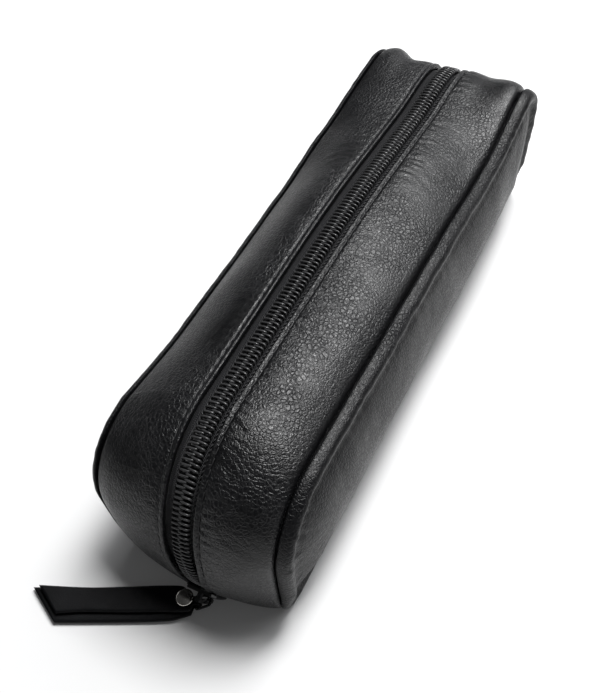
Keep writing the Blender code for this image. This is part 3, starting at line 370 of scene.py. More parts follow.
def crest_frame(key):
    """Point, outward normal and cross direction of the crest at a length along it, 0 at the arc's level."""
    angle = np.minimum(key, ARC_LENGTH) / CREST_RADIUS
    run = np.maximum(key - ARC_LENGTH, 0.0)
    out = joined(-np.cos(angle), np.sin(angle) * math.sin(TILT), np.sin(angle) * math.cos(TILT))
    near = ARC_CENTRE + CREST_RADIUS * out
    flat, ahead, behind = (at_run(CREST_LINE, CREST_RUN, run + step * MM) for step in (0.0, 1.0, -1.0))
    along = unit(ahead - behind)
    tilt = TILT * (1.0 - smooth_step(run / TILT_FADE))
    far = joined(flat[:, 0], 0.0, flat[:, 1])
    far_out = joined(-along[:, 1], along[:, 0] * np.sin(tilt), along[:, 0] * np.cos(tilt))
    far_across = joined(0.0, np.cos(tilt), -np.sin(tilt))
    near_across = np.array((0.0, math.cos(TILT), -math.sin(TILT)))
    on_arc = (key <= ARC_LENGTH)[:, None]
    pairs = ((near, far), (out, far_out), (near_across, far_across))
    return tuple(np.where(on_arc, first, second) for first, second in pairs)


def strip_outline(knots):
    """Seam outline that a gusset follows: from half round one bottom corner, over the top, to the other."""
    near = arc((-HALF_LENGTH + BOTTOM_RADIUS, BOTTOM_RADIUS), BOTTOM_RADIUS, 225.0, 180.0, 30)
    far = arc((HALF_LENGTH - BOTTOM_RADIUS, BOTTOM_RADIUS), BOTTOM_RADIUS, 0.0, -45.0, 30)
    line = np.vstack([near, top_half(knots)[1:-1], far])
    return line, run_of(line)


def matched_keys(count, knots):
    """Seam points, seam normals and crest keys for evenly spread stations of a gusset.

    Stops along the seam and keys along the crest are matched in pairs, and the keys between them are blurred.
    """
    line, run = strip_outline(knots)
    lengths = np.linspace(0.0, run[-1], count)
    seam = at_run(line, run, lengths)
    normal = outward(unit(np.gradient(seam, axis=0)))
    corner = BOTTOM_RADIUS * math.pi * 0.25
    near_side = SEAM_HEIGHT - NEAR_TOP_RADIUS - BOTTOM_RADIUS
    near_arc = NEAR_TOP_RADIUS * math.pi * 0.5
    stops = [0.0, corner, corner + near_side, corner + near_side + near_arc]
    far_arc = FAR_TOP_RADIUS * math.pi * 0.5
    far_side = SEAM_HEIGHT - FAR_TOP_RADIUS - BOTTOM_RADIUS
    end = run[-1]
    stops += [end - corner - far_side - far_arc, end - corner - far_side, end - corner, end]
    farthest = np.argmax(CREST_LINE[:, 0]) + 1
    top_end = np.interp(TOP_END_X, CREST_LINE[:farthest, 0], CREST_RUN[:farthest])
    corner_end = np.interp(-CORNER_END_Z, -CREST_LINE[:, 1], CREST_RUN)
    keys = [KEY_START, *(CREST_RADIUS * np.radians(NEAR_ANGLES)), ARC_LENGTH]
    keys += [ARC_LENGTH + top_end, ARC_LENGTH + corner_end, KEY_END - FAR_CORNER_LENGTH, KEY_END]
    found = np.interp(lengths, stops, keys)
    straight = np.linspace(found[0], found[-1], count)
    found = straight + blurred(found - straight, count * KEY_BLUR)
    to_first, to_last = keys[0] - found[0], keys[-1] - found[-1]
    found = found + to_first * np.linspace(1, 0, count) ** 8 + to_last * np.linspace(0, 1, count) ** 8
    return seam, normal, found


def stations_at(stations, keys):
    """Seam points and normals of a gusset at other crest keys."""
    seam, normal, known = stations
    return at_run(seam, known, keys), at_run(normal, known, keys), keys


def settle(points):
    """Points moved as the soft bag settles: sides lean in near the floor, far corners go out and up."""
    x, y, z = points[..., 0], points[..., 1], points[..., 2]
    side = np.where(y < 0.0, -1.0, 1.0)
    share = smooth_step((np.abs(y) - SIDE_START_Y) / SIDE_BLEND)
    along = np.clip(0.5 * (x + HALF_LENGTH) / HALF_LENGTH, 0.0, 1.0)
    inward = (LEAN[0] + (LEAN[1] - LEAN[0]) * along) * smooth_step((LEAN_HEIGHT - z) / LEAN_HEIGHT)
    inward = inward + np.where(side > 0.0, DRAW_FAR * along, 0.0)
    high = smooth_step(z / SEAM_HEIGHT)
    far = share * smooth_step((x - FAR_START_X) / FAR_BLEND)
    out = np.where(side > 0.0, FAR_OUT[1], FAR_OUT[0]) * (LOW_OUT + (1.0 - LOW_OUT) * high)
    rise = np.where(side > 0.0, FAR_RISE[1], FAR_RISE[0]) * high
    return joined(x + far * out, side * (np.abs(y) - share * inward), z + far * rise)


def crown(y):
    """Share of the crest's rise at a distance y from the zip: 1 - ((|y| - fold) / reach) ^ power."""
    beyond = np.maximum(np.abs(y) - FOLD_Y, 0.0) / (SEAM_Y - FOLD_Y)
    return 1.0 - np.minimum(beyond, 1.0) ** CROWN_POWER


def skin(side, stations, y, height):
    """Gusset points: the crown's share of the way from seam to crest, then height along a blended normal."""
    seam, normal, keys = stations
    point, out, across = crest_frame(keys)
    low = joined(seam[:, None, 0], side * y, seam[:, None, 1])
    low_out = joined(normal[:, 0], 0.0, normal[:, 1])
    high = point[:, None] + across[:, None] * (side * y)[..., None]
    share = crown(y)[..., None]
    base = low + (high - low) * share
    direction = unit(low_out[:, None] + (out - low_out)[:, None] * share)
    if side > 0.0:
        base[..., 1] += BACK_SPREAD * smooth_step((y - SPREAD_START_Y) / (SEAM_Y - SPREAD_START_Y))
    return settle(base + direction * height[..., None])


# Shader node groups and materials
def shader_group(name, inputs, outputs):
    """Empty shader node group with the given sockets."""
    group = bpy.data.node_groups.new(name, "ShaderNodeTree")
    for label, kind, value in inputs:
        group.interface.new_socket(label, in_out="INPUT", socket_type=kind).default_value = value
    for label, kind in outputs:
        group.interface.new_socket(label, in_out="OUTPUT", socket_type=kind)
    return group, group.nodes.new("NodeGroupInput"), group.nodes.new("NodeGroupOutput")


def fill(tree, node, values):
    """Sets inputs by name or number: linked where the value is a socket, and given as it is elsewhere."""
    for label, value in values.items():
        if isinstance(value, bpy.types.NodeSocket):
            tree.links.new(value, node.inputs[label])
        else:
            node.inputs[label].default_value = value


def add_node(tree, kind, values, output=0, **settings):
    """New shader node with its inputs filled; gives one of its outputs."""
    node = tree.nodes.new("ShaderNode" + kind)
    for label, value in settings.items():
        setattr(node, label, value)
    fill(tree, node, values)
    return node.outputs[output]


def math_node(tree, operation, *values, clamp=False):
    """One sum on sockets or plain numbers."""
    return add_node(tree, "Math", dict(enumerate(values)), operation=operation, use_clamp=clamp)


def noise_node(tree, vector, scale, detail, output="Fac"):
    """Noise at the given scale."""
    return add_node(tree, "TexNoise", {"Vector": vector, "Scale": scale, "Detail": detail}, output)


def value_range(tree, value, low, high, to_low, to_high):
    """Value carried from one range to another and held at its ends."""
    values = {"Value": value, "From Min": low, "From Max": high, "To Min": to_low, "To Max": to_high}
    return add_node(tree, "MapRange", values, "Result")


def bump(tree, height, distance, strength=1.0, **under):
    """Normal bent by a height of the given depth in metres, on top of another normal where one is given."""
    values = {"Distance": distance, "Strength": strength, "Height": height}
    return add_node(tree, "Bump", {**values, **under}, "Normal")


def colour_ramp(tree, value, stops):
    """Colour that runs through stops of place and colour."""
    ramp = tree.nodes.new("ShaderNodeValToRGB")
    fill(tree, ramp, {"Fac": value})
    elements = ramp.color_ramp.elements
    elements[0].position, elements[0].color = stops[0][0], (*stops[0][1], 1.0)
    elements[1].position, elements[1].color = stops[-1][0], (*stops[-1][1], 1.0)
    for place, colour in stops[1:-1]:
        elements.new(place).color = (*colour, 1.0)
    return ramp.outputs["Color"]


def base_material(name):
    """New material with its node tree, its shader and its own coordinates."""
    material = bpy.data.materials.new(name)
    material.use_nodes = True
    tree = material.node_tree
    return material, tree, tree.nodes["Principled BSDF"], tree.nodes.new("ShaderNodeTexCoord").outputs


def grain_group():
    """Pebbled grain: cells of two sizes pulled about by noise, with wider creases that come and go."""
    group, source, result = shader_group(
        "pebbled_grain",
        [("Vector", "NodeSocketVector", (0.0, 0.0, 0.0)), ("Pebbles", "NodeSocketFloat", 900.0)],
        [("Height", "NodeSocketFloat"), ("Crease", "NodeSocketFloat"), ("Patch", "NodeSocketFloat")],
    )
    vector, pebbles = source.outputs["Vector"], source.outputs["Pebbles"]
    pull = {0: noise_node(group, vector, 420.0, 2.0, "Color"), 1: (0.0012, 0.0012, 0.0012), 2: vector}
    moved = add_node(group, "VectorMath", pull, operation="MULTIPLY_ADD")
    layers = []
    for factor, gain in ((1.0, 5.0), (2.3, 3.0)):
        values = {"Vector": moved, "Scale": math_node(group, "MULTIPLY", pebbles, factor)}
        cells = add_node(group, "TexVoronoi", values, "Distance", feature="DISTANCE_TO_EDGE")
        layers.append(math_node(group, "MULTIPLY", cells, gain, clamp=True))
    patch = noise_node(group, vector, 55.0, 2.0)
    mask = math_node(group, "MULTIPLY_ADD", patch, 3.0, -0.75, clamp=True)
    small = math_node(group, "MULTIPLY", layers[1], 0.35)
    height = math_node(group, "ADD", math_node(group, "MULTIPLY", layers[0], mask), small)
    crease = math_node(group, "SUBTRACT", 1.0, layers[0], clamp=True)
    fill(group, result, {"Height": height, "Crease": crease, "Patch": patch})
    return group


def leather_material(name, grain, colour, pebbles, depth, rough, gloss):
    """Black hide: pebbled bump, creases a little darker and duller, patches of softer sheen."""
    material, tree, shader, coords = base_material(name)
    group = tree.nodes.new("ShaderNodeGroup")
    group.node_tree = grain
    fill(tree, group, {"Vector": coords["Object"], "Pebbles": pebbles})
    height, crease, patch = group.outputs
    dark = tuple(c * 0.55 for c in colour)
    light = tuple(c * 1.35 for c in colour)
    sheen = value_range(tree, patch, 0.2, 0.8, rough - 0.05, rough + 0.08)
    dull = math_node(tree, "MULTIPLY", crease, 0.14)
    fine = bump(tree, noise_node(tree, coords["Object"], 5200.0, 2.0), 0.000004, 0.5)
    fill(tree, shader, {
        "Base Color": colour_ramp(tree, patch, [(0.25, dark), (0.5, colour), (0.8, light)]),
        "Roughness": math_node(tree, "ADD", sheen, dull, clamp=True),
        "Normal": bump(tree, height, depth, Normal=fine),
        "Specular IOR Level": gloss,
    })
    return material


BAND_WIDTH = 0.0011
RIB_PITCH = 0.00062
YARN_PITCH = 0.00042


def tape_material():
    """Woven tape: fine slanted ribs that change direction in narrow bands, with painted shade in the grooves
    and a painted highlight on the rib tops.
    """
    material, tree, shader, coords = base_material("woven_tape")
    split = tree.nodes.new("ShaderNodeSeparateXYZ")
    fill(tree, split, {"Vector": coords["UV"]})
    along, across = split.outputs["X"], split.outputs["Y"]
    slanted = math_node(tree, "ADD", along, math_node(tree, "PINGPONG", across, BAND_WIDTH))
    rib = math_node(tree, "SINE", math_node(tree, "MULTIPLY", slanted, 2.0 * math.pi / RIB_PITCH))
    yarn = math_node(tree, "SINE", math_node(tree, "MULTIPLY", across, 2.0 * math.pi / YARN_PITCH))
    height = math_node(tree, "MULTIPLY_ADD", yarn, 0.35, rib)
    # Colour follows the rib height: painted shade in the grooves, painted highlight on the rib tops.
    share = value_range(tree, height, -1.3, 1.3, 0.0, 1.0)
    fill(tree, shader, {
        "Base Color": colour_ramp(tree, share, [(0.2, (0.003, 0.003, 0.004)), (0.9, (0.02, 0.02, 0.022))]),
        "Roughness": value_range(tree, height, -1.3, 1.3, 0.75, 0.5),
        "Normal": bump(tree, height, 0.00012),
        "Specular IOR Level": 0.3,
    })
    return material


def plain_material(name, colour, rough, metal, fineness, depth, spread=0.25, specular=0.5):
    """Finish with slight colour and gloss changes and a fine bump."""
    material, tree, shader, coords = base_material(name)
    patch = noise_node(tree, coords["Object"], fineness * 0.15, 3.0)
    low = tuple(c * (1.0 - spread) for c in colour)
    high = tuple(min(c * (1.0 + spread), 1.0) for c in colour)
    fill(tree, shader, {
        "Base Color": colour_ramp(tree, patch, [(0.3, low), (0.7, high)]),
        "Roughness": value_range(tree, patch, 0.25, 0.75, rough * 0.85, min(rough * 1.15, 1.0)),
        "Normal": bump(tree, noise_node(tree, coords["Object"], fineness, 2.0), depth),
        "Metallic": metal,
        "Specular IOR Level": specular,
    })
    return material


def paper_material(colour):
    """Pale floor: plain paper that looks a little lighter to the eye, a mirror or a clear piece."""
    material, tree, shader, coords = base_material("paper")
    path = tree.nodes.new("ShaderNodeLightPath").outputs
    seen = math_node(tree, "MAXIMUM", path["Is Camera Ray"], path["Is Transmission Ray"])
    seen = math_node(tree, "MAXIMUM", seen, path["Is Glossy Ray"])
    patch = noise_node(tree, coords["Object"], 9.0, 3.0)
    low = tuple(c * 0.99 for c in colour)
    fill(tree, shader, {
        "Base Color": colour_ramp(tree, patch, [(0.3, low), (0.7, colour)]),
        "Emission Strength": value_range(tree, seen, 0.0, 1.0, 0.0, 0.03),
        "Emission Color": (1.0, 1.0, 1.0, 1.0),
        "Roughness": 0.95,
        "Specular IOR Level": 0.2,
    })
    return material


# Material name, share of the hide's colour, pebbles per metre, bump depth, roughness and gloss
HIDES = {
    "hide": ("soft_hide", 1.0, 820.0, 0.0001, 0.32, 0.39),
    "panel": ("panel_hide", 1.0, 820.0, 0.0001, 0.34, 0.22),
    "strap": ("strap_hide", 1.1, 1700.0, 0.00004, 0.45, 0.15),
}
# Material name, colour, roughness, metal, fineness, bump depth and, for some, colour spread and gloss
FINISHES = {
    "coil": ("nylon_coil", (0.03, 0.03, 0.031), 0.29, 0.0, 3000.0, 0.00001, 0.2, 0.45),
    "thread": ("thread", (0.008, 0.008, 0.009), 0.6, 0.0, 6000.0, 0.00004),
    "nickel": ("nickel", (0.62, 0.6, 0.56), 0.22, 1.0, 1800.0, 0.00001, 0.08),
    "enamel": ("black_enamel", (0.012, 0.012, 0.013), 0.25, 0.0, 1500.0, 0.00001),
    "lining": ("lining_cloth", (0.05, 0.05, 0.055), 0.9, 0.0, 3000.0, 0.00005),
    "foam": ("padding", (0.3, 0.3, 0.31), 0.95, 0.0, 1500.0, 0.0001),
    "board": ("stiffener", (0.25, 0.18, 0.12), 0.8, 0.0, 900.0, 0.00003),
}
MATERIALS = {}


def make_materials(settings):
    """Every finish of the bag."""
    grain = grain_group()
    for key, (name, share, *values) in HIDES.items():
        colour = tuple(c * share for c in settings.leather_colour)
        MATERIALS[key] = leather_material(name, grain, colour, *values)
    MATERIALS["tape"] = tape_material()
    for key, values in FINISHES.items():
        MATERIALS[key] = plain_material(*values)


# Pieces
SIDES = (("front", -1.0, FRONT_WAVE), ("back", 1.0, BACK_WAVE))


def key_at(degrees):
    """Length along the crest at an angle of the near end's arc."""
    return math.radians(degrees) * CREST_RADIUS


def between(keys, start, stop):
    """Smooth step along the near end's arc, from 0 at one angle in degrees to 1 at a lower one."""
    first = key_at(start)
    return smooth_step((first - keys) / (first - key_at(stop)))


def pinch(keys):
    """Share by which the two folds close over the zip low on the near end."""
    return between(keys, 14.0, -16.0)


def closing(keys, from_fold):
    """The folds' closing, faded out with the distance from the fold."""
    return pinch(keys) * (1.0 - smooth_step(from_fold / CLOSE_REACH))


def bell(value, middle, width):
    """One at the middle and falling to each side: e ^ -((value - middle) / width)^2."""
    return np.exp(-(((value - middle) / width) ** 2))


def rolled(distance, reach):
    """Drop of a rounded edge: a quarter circle, as a share from 1 at the edge to 0 at the reach."""
    t = np.clip((reach - distance) / reach, 0.0, 1.0)
    return 1.0 - np.sqrt(1.0 - t**2)


def gusset_heights(side, keys, y, places):
    """Height of a gusset's outer face over its plain skin.

    Added in turn: the rounded fold, the stitch channel, the lip beside it, the gathers past the stitches, the
    rounded seam edge, broad dents, slanted wrinkles and the pulls beside the stitches.
    """
    from_fold = y - FOLD_EDGE[side]
    from_stitch = from_fold - STITCH_FROM_FOLD[side]
    to_seam = SEAM_Y - y
    firm = 1.0 if side < 0.0 else 0.55
    turn = 2.0 * math.pi * keys / STITCH_PITCH
    beat = 0.5 + 0.5 * np.cos(turn)
    height = -FOLD_ROUND * rolled(from_fold, FOLD_ROUND)
    height -= 0.5 * firm * MM * bell(from_stitch, 0.0, 0.45 * MM) * (0.5 + 0.5 * beat)
    height += 0.19 * np.clip(LIP_WIDTH - from_fold, 0.0, LIP_WIDTH) * (1.0 - 0.2 * beat)
    past = np.clip(from_stitch / (4.8 * MM), 0.0, 1.0)
    gather = np.sin(turn + 2.0 * value_noise(places, 9.0 * MM, 5))
    height += 0.12 * firm * MM * gather * (1.0 - past) ** 2 * past * 6.0
    height -= LEATHER * rolled(to_seam, SEAM_ROUND)
    calm = smooth_step(from_fold / (6.0 * MM)) * smooth_step(to_seam / (5.0 * MM))
    height += 0.42 * MM * calm * rolling_noise(places, 26.0 * MM, 11 if side < 0 else 17, 2)
    slanted = joined((keys + 0.35 * y) / 2.1, y / 5.5, 0.0)
    lines = value_noise(slanted, 1.0 * MM, 23) + 0.5 * value_noise(slanted * 1.9, 1.0 * MM, 29)
    zone = bell(keys, key_at(52.0 if side > 0.0 else 40.0), 15.0 * MM) * bell(y, 16.5 * MM, 6.5 * MM)
    zone += 0.6 * smooth_step(value_noise(places, 30.0 * MM, 31) * 1.6)
    zone *= smooth_step(to_seam / (3.0 * MM)) * smooth_step(from_fold / (4.0 * MM))
    height += 0.11 * MM * lines * zone
    pulls = joined(keys / 1.15, y / 5.5, 0.0)
    beside = bell(from_stitch, 3.2 * MM, 3.4 * MM) * (from_stitch > 0.0) * (1.0 - 0.6 * pinch(keys))
    return height + 0.15 * firm * MM * beside * value_noise(pulls, 1.0 * MM, 37)


def make_gusset(name, side, knots, count):
    """One gusset strip: the outer face above, a plain inner face below, closed all round."""
    stations = matched_keys(count, knots)
    edge = FOLD_EDGE[side]
    outer_y = np.concatenate([
        edge + FOLD_ROUND * (1.0 - np.cos(np.linspace(0.0, math.pi * 0.5, 9))),
        np.linspace(edge + 0.8 * MM, 9.6 * MM, 28),
        np.linspace(10.1 * MM, 25.6 * MM, 42),
        SEAM_Y - SEAM_ROUND * (1.0 - np.sin(np.linspace(0.15, math.pi * 0.5, 10))),
    ])
    keys, y = np.broadcast_arrays(stations[2][:, None], outer_y)
    plain = skin(side, stations, y, np.zeros(keys.shape))
    close = closing(keys, y - edge)
    height = gusset_heights(side, keys, y, plain) + CLOSE_RISE * close
    outer = skin(side, stations, y - CLOSE_SHIFT * close, height)
    inner_y = np.array((SEAM_Y, 22.0 * MM, 17.5 * MM, 14.5 * MM, 10.0 * MM, edge + 0.4 * MM, edge))
    depth = np.array([LEATHER] * 3 + [FOLD_LEATHER] * 3 + [FOLD_LEATHER - 0.4 * MM])
    inner_y = inner_y - CLOSE_SHIFT * closing(stations[2][:, None], inner_y - edge)
    inner = skin(side, stations, inner_y, np.broadcast_to(-depth, inner_y.shape))
    return tube_object(name, np.concatenate([outer, inner], axis=1), MATERIALS["hide"])


# Inset and rise of the panel leather, from inside the groove over the bead to the crown
SHELL_OUTER = np.array((
    (2.2, 0.35), (1.2, 0.4), (0.5, 0.65), (0.1, 1.15), (0.15, 2.0), (0.45, 3.0),
    (0.95, 3.95), (1.8, 4.6), (2.9, 4.55), (4.0, 3.9), (5.1, 3.35), (6.8, 3.5),
    (9.0, 4.35), (13.0, 5.35), (18.0, 6.15), (22.0, 6.55), (24.0, 6.6), (25.0, 6.6),
)) * MM
SHELL_INNER = np.array((
    (25.0, 5.2), (18.0, 4.7), (13.0, 4.0), (9.0, 3.0), (7.2, 1.6), (6.4, 0.3), (4.0, -0.9), (2.2, -0.7),
)) * MM
# Rise in the profile and rise on the back panel, whose groove is shallower
BACK_RISE = np.array(((0.0, 2.3), (4.4, 4.4), (6.6, 6.6))) * MM


def inset_points(loop, normal, target, insets):
    """Seam loop moved in: square to itself up to a limit, then a share of the way to the middle line."""
    insets = insets[:, None, None]
    flat = loop - normal * np.minimum(insets, SQUARE_INSET)
    return flat + (target - flat) * np.maximum(insets - SQUARE_INSET, 0.0) / (MIDDLE_Z - SQUARE_INSET)


def make_shell(name, side, knots, half):
    """Panel leather with its rolled bead: a profile of inset and rise carried round the seam outline.

    The rise is less low down. Added to it in turn: ripples on the bead and in the valley beside it, short
    pulls down the panel and broad dents.
    """
    loop, normal, target = seam_loop(knots, half)
    outer = spline(SHELL_OUTER, 110)
    inner = spline(SHELL_INNER, 26)
    flat = inset_points(loop, normal, target, outer[:, 0])
    inset, rise = np.broadcast_arrays(outer[:, :1], outer[:, 1:], flat[..., 0])[:2]
    if side > 0.0:
        rise = np.interp(rise, BACK_RISE[:, 0], BACK_RISE[:, 1])
    rise = rise * (1.0 - 0.55 * smooth_step((16.0 * MM - flat[..., 1]) / (13.0 * MM)))
    places = joined(flat[..., 0], side * (SEAM_Y + rise), flat[..., 1])
    on_bead = bell(inset, 2.2 * MM, 2.2 * MM) * (rise > 0.6 * MM)
    in_valley = bell(inset, 6.0 * MM, 2.4 * MM)
    run = run_of(np.vstack([loop, loop[:1]]))[:-1]
    angle = 2.0 * math.pi * run / run[-1]
    ripple = rolling_noise(joined(np.cos(angle), np.sin(angle), 0.0) * 0.07, 2.6 * MM, 41, 2)
    rise += (0.16 * on_bead + 0.22 * in_valley) * MM * ripple
    down = joined(run / 2.6, inset / 8.0, 0.0)
    on_panel = smooth_step((inset - 4.5 * MM) / (2.5 * MM)) * (0.5 + 0.5 * value_noise(places, 17.0 * MM, 49))
    on_panel = on_panel * (1.0 - smooth_step((inset - 13.0 * MM) / (9.0 * MM)))
    rise += 0.13 * MM * on_panel * value_noise(down, 1.0 * MM, 47)
    calm = smooth_step((inset - 6.0 * MM) / (8.0 * MM))
    rise += 0.55 * MM * calm * rolling_noise(places, 34.0 * MM, 53 if side < 0 else 59, 3)
    shift = 0.12 * MM * on_bead * value_noise(places, 7.0 * MM, 61)
    moved = flat - shift[..., None] * normal
    points = joined(moved[..., 0], side * (SEAM_Y + rise), moved[..., 1])
    back = inset_points(loop, normal, target, inner[:, 0])
    inside = joined(back[..., 0], side * (SEAM_Y + inner[:, 1:]), back[..., 1])
    return close_shell(name, settle(np.concatenate([points, inside])), len(points))


def close_shell(name, rows, outer_rows):
    """Closes a domed shell: each face's first row is folded shut, a hidden strip joins the last rows."""
    total, count = rows.shape[:2]
    outer = grid_faces(outer_rows, count)
    inner = grid_faces(total - outer_rows, count)[:, ::-1] + outer_rows * count
    j = np.arange(count)
    k = (j + 1) % count
    a = (outer_rows - 1) * count
    b = (total - 1) * count
    joint = joined(a + j, a + k, b + k, b + j)
    points = rows.reshape(-1, 3).copy()
    upper = np.arange(1, count // 2)
    for start in (0, outer_rows * count):
        points[start + count - upper] = points[start + upper]
    piece = mesh_object(name, points, np.vstack([outer, inner, joint]), MATERIALS["panel"])
    merge_doubles(piece, 1e-7)
    return piece


def merge_doubles(piece, distance):
    """Merges points closer than a distance and drops faces and edges that shrink to nothing."""
    work = bmesh.new()
    work.from_mesh(piece.data)
    bmesh.ops.remove_doubles(work, verts=work.verts, dist=distance)
    bmesh.ops.dissolve_degenerate(work, edges=work.edges, dist=distance)
    work.to_mesh(piece.data)
    work.free()


def splay(keys):
    """How far each half of the zip stands from the middle inside the slider's mouth."""
    return 1.0 * MM * between(keys, -25.0, -31.5)


def make_tape(name, side, knots, count):
    """Woven tape: a thin strip under the gusset's fold, with a map in metres along and across it."""
    keys = np.linspace(key_at(-35.0), KEY_END - 2.0 * MM, count)
    y = np.concatenate([np.linspace(0.15, 6.4, 14), [9.0, 13.5], [13.5, 9.0], np.linspace(6.4, 0.15, 5)]) * MM
    h = np.concatenate([np.full(16, -2.0), np.full(7, -2.6)]) * MM
    grid_y = y + splay(keys)[:, None] * (1.0 - smooth_step((y - 3.0 * MM) / (8.4 * MM)))
    stations = stations_at(matched_keys(count, knots), keys)
    points = skin(side, stations, grid_y, np.broadcast_to(h, grid_y.shape))
    return tube_object(name, points, MATERIALS["tape"], joined(keys[:, None], y).reshape(-1, 2))


def flattened(value, power):
    """A wave's value raised to a power with its sign kept."""
    return np.sign(value) * np.abs(value) ** power


def make_coil(name, side):
    """Half of the coil: one filament wound round and round, a flattened helix with heads past the middle."""
    first = key_at(-33.0)
    turns = int((KEY_END - 8.8 * MM - first) / COIL_PITCH)
    steps = 12
    phase = np.arange(turns * steps + 1) / steps
    offset = 0.0 if side < 0 else 0.5
    cosine, sine = np.cos(2.0 * math.pi * phase), np.sin(2.0 * math.pi * phase)
    across = 1.06 * MM + 1.5 * MM * flattened(cosine, 0.8)
    height = -0.85 * MM + 0.66 * MM * flattened(sine, 0.7)
    keys = first + (phase + offset) * COIL_PITCH + 0.15 * MM * cosine * np.where(sine > 0, 1.0, -1.0)
    point, out, sideways = crest_frame(keys)
    path = point + sideways * side * (across + splay(keys))[:, None] + out * height[:, None]
    along = crest_frame(keys + 0.5 * MM)[0] - crest_frame(keys - 0.5 * MM)[0]
    radius = 0.33 * MM * (1.0 + 0.18 * bell(across, -0.3 * MM, 0.5 * MM))
    return tube_object(name, swept(path, unit(along), radius, 7), MATERIALS["coil"])


def bars(name, knots, side, keys, y, height, size, lean):
    """Stitches: small rounded bars lying along the zip, leaned a little, at given places of the gusset."""
    stations = matched_keys(700, knots)
    places = skin_places(stations, side, keys, y, height)
    along = unit(skin_places(stations, side, keys + 0.4 * MM, y, height) - places)
    across = unit(np.cross(crest_frame(keys)[1], along))
    out = np.cross(along, across)
    leaned = along * math.cos(lean) + across * math.sin(lean)
    length, width, thick = size
    axes = np.stack([leaned * length, np.cross(out, leaned) * width, out * thick, places], axis=1)
    return many(name, *capsule(), axes, MATERIALS["thread"])


def skin_places(stations, side, keys, y, height):
    """Points of the gusset at given keys, all at one height."""
    grid_y = np.broadcast_to(y, keys.shape)[:, None]
    return skin(side, stations_at(stations, keys), grid_y, np.full(grid_y.shape, height))[:, 0]


def make_stitches(name, side, knots):
    """Topstitching beside the fold: one thread bar for each stitch, sunk in its channel."""
    keys = np.arange(KEY_START + 2.0 * MM, KEY_END - 2.0 * MM, STITCH_PITCH) + 0.5 * STITCH_PITCH
    from_fold = STITCH_FROM_FOLD[side]
    y = FOLD_EDGE[side] + from_fold - CLOSE_SHIFT * closing(keys, from_fold)
    return bars(name, knots, side, keys, y, -0.2 * MM, STITCH_SIZE, 0.06 * side)


def make_coil_thread(name, side, knots):
    """Stitches that hold the coil to its tape: one small bar over each gap between loops."""
    keys = np.arange(KEY_START + 3.0 * MM, KEY_END - 9.0 * MM, COIL_PITCH)
    return bars(name, knots, side, keys, 3.35 * MM, -1.75 * MM, COIL_STITCH_SIZE, 0.5 * side)


# Two layers of the pull: far edge x and y, near edge x and y, underside height
PULL_LOWER = np.array((
    (-118.1, 45.7, -124.2, 33.5, 0.3),
    (-112.0, 32.3, -120.6, 25.9, 0.3),
    (-106.4, 20.0, -114.9, 14.0, 0.4),
    (-101.6, 8.6, -109.6, 3.4, 0.7),
    (-99.4, 3.5, -107.0, 0.0, 0.75),
    (-100.4, 1.2, -105.0, -2.0, 0.65),
)) * MM
PULL_UPPER = np.array((
    (-100.4, 1.2, -104.6, -2.2, 2.95),
    (-99.3, 3.7, -106.0, 0.2, 2.75),
    (-101.4, 9.0, -108.2, 5.2, 2.6),
    (-106.2, 18.8, -113.0, 15.4, 2.2),
    (-111.6, 29.9, -118.2, 26.8, 2.1),
    (-117.2, 43.6, -122.0, 33.8, 2.1),
)) * MM
PULL_THICK = 1.5 * MM
PULL_HEADING = np.array((-0.431, 0.9024, 0.0))
PULL_SIDE = np.array((0.9024, 0.431, 0.0))
PULL_ROOT = np.array((-101.322, -1.772, 2.218)) * MM
PULL_TURN = (1.7 * MM, 0.7 * MM)
PULL_NECK = 2.6 * MM


def layer_corners(knots, upper):
    """Four edge points of each section of one layer, its outer face first."""
    far_x, far_y, near_x, near_y, under = spline(knots, 60).T
    over = under + PULL_THICK
    first, second = (over, under) if upper else (under, over)
    far, near = (far_x, far_y), (near_x, near_y)
    corners = ((*far, first), (*near, first), (*near, second), (*far, second))
    return np.stack([joined(*corner) for corner in corners], axis=1)


def pull_rows():
    """Edge points of the doubled strap: lower layer, a turn round the link, upper layer."""
    angle = np.radians(np.linspace(-55.0, -305.0, 26))[:, None]
    out = np.cos(angle) * PULL_HEADING + np.sin(angle) * np.array((0.0, 0.0, 1.0))
    outer, inner = (PULL_ROOT + radius * out for radius in PULL_TURN)
    half = 0.5 * PULL_NECK * PULL_SIDE
    turn = np.stack([outer + half, outer - half, inner - half, inner + half], axis=1)
    return np.concatenate([layer_corners(PULL_LOWER, False), turn, layer_corners(PULL_UPPER, True)])


def make_strap(name):
    """Doubled leather strap: rounded flat sections carried along its edge points."""
    rows = pull_rows()
    a, b, c, d = (rows[:, k][:, None] for k in range(4))
    u = np.linspace(0.0, 1.0, 15)[None, :, None]
    ease = (1.0 - (2.0 * u - 1.0) ** 8) * 0.5 + 0.5
    face = a + (b - a) * u
    other = d + (c - d) * u
    centre = 0.5 * (face + other)
    face = centre + (face - centre) * ease
    other = centre + (other - centre) * ease
    grain = 0.05 * MM * rolling_noise(face, 4.0 * MM, 71, 2)[..., None] * unit(face - centre + 1e-9)
    sections = np.concatenate([face + grain, other[:, ::-1]], axis=1)
    return tube_object(name, sections, MATERIALS["strap"])


RIVET_X = -102.2 * MM
RIVET_Y = 1.1 * MM
# Radius and height from the foot of the post over the dome
RIVET_PROFILE = np.array((
    (0.95, 0.8), (0.95, 4.62), (2.45, 4.66), (2.6, 4.78), (2.58, 4.92),
    (2.3, 5.2), (1.8, 5.45), (1.1, 5.62), (0.5, 5.68),
)) * MM


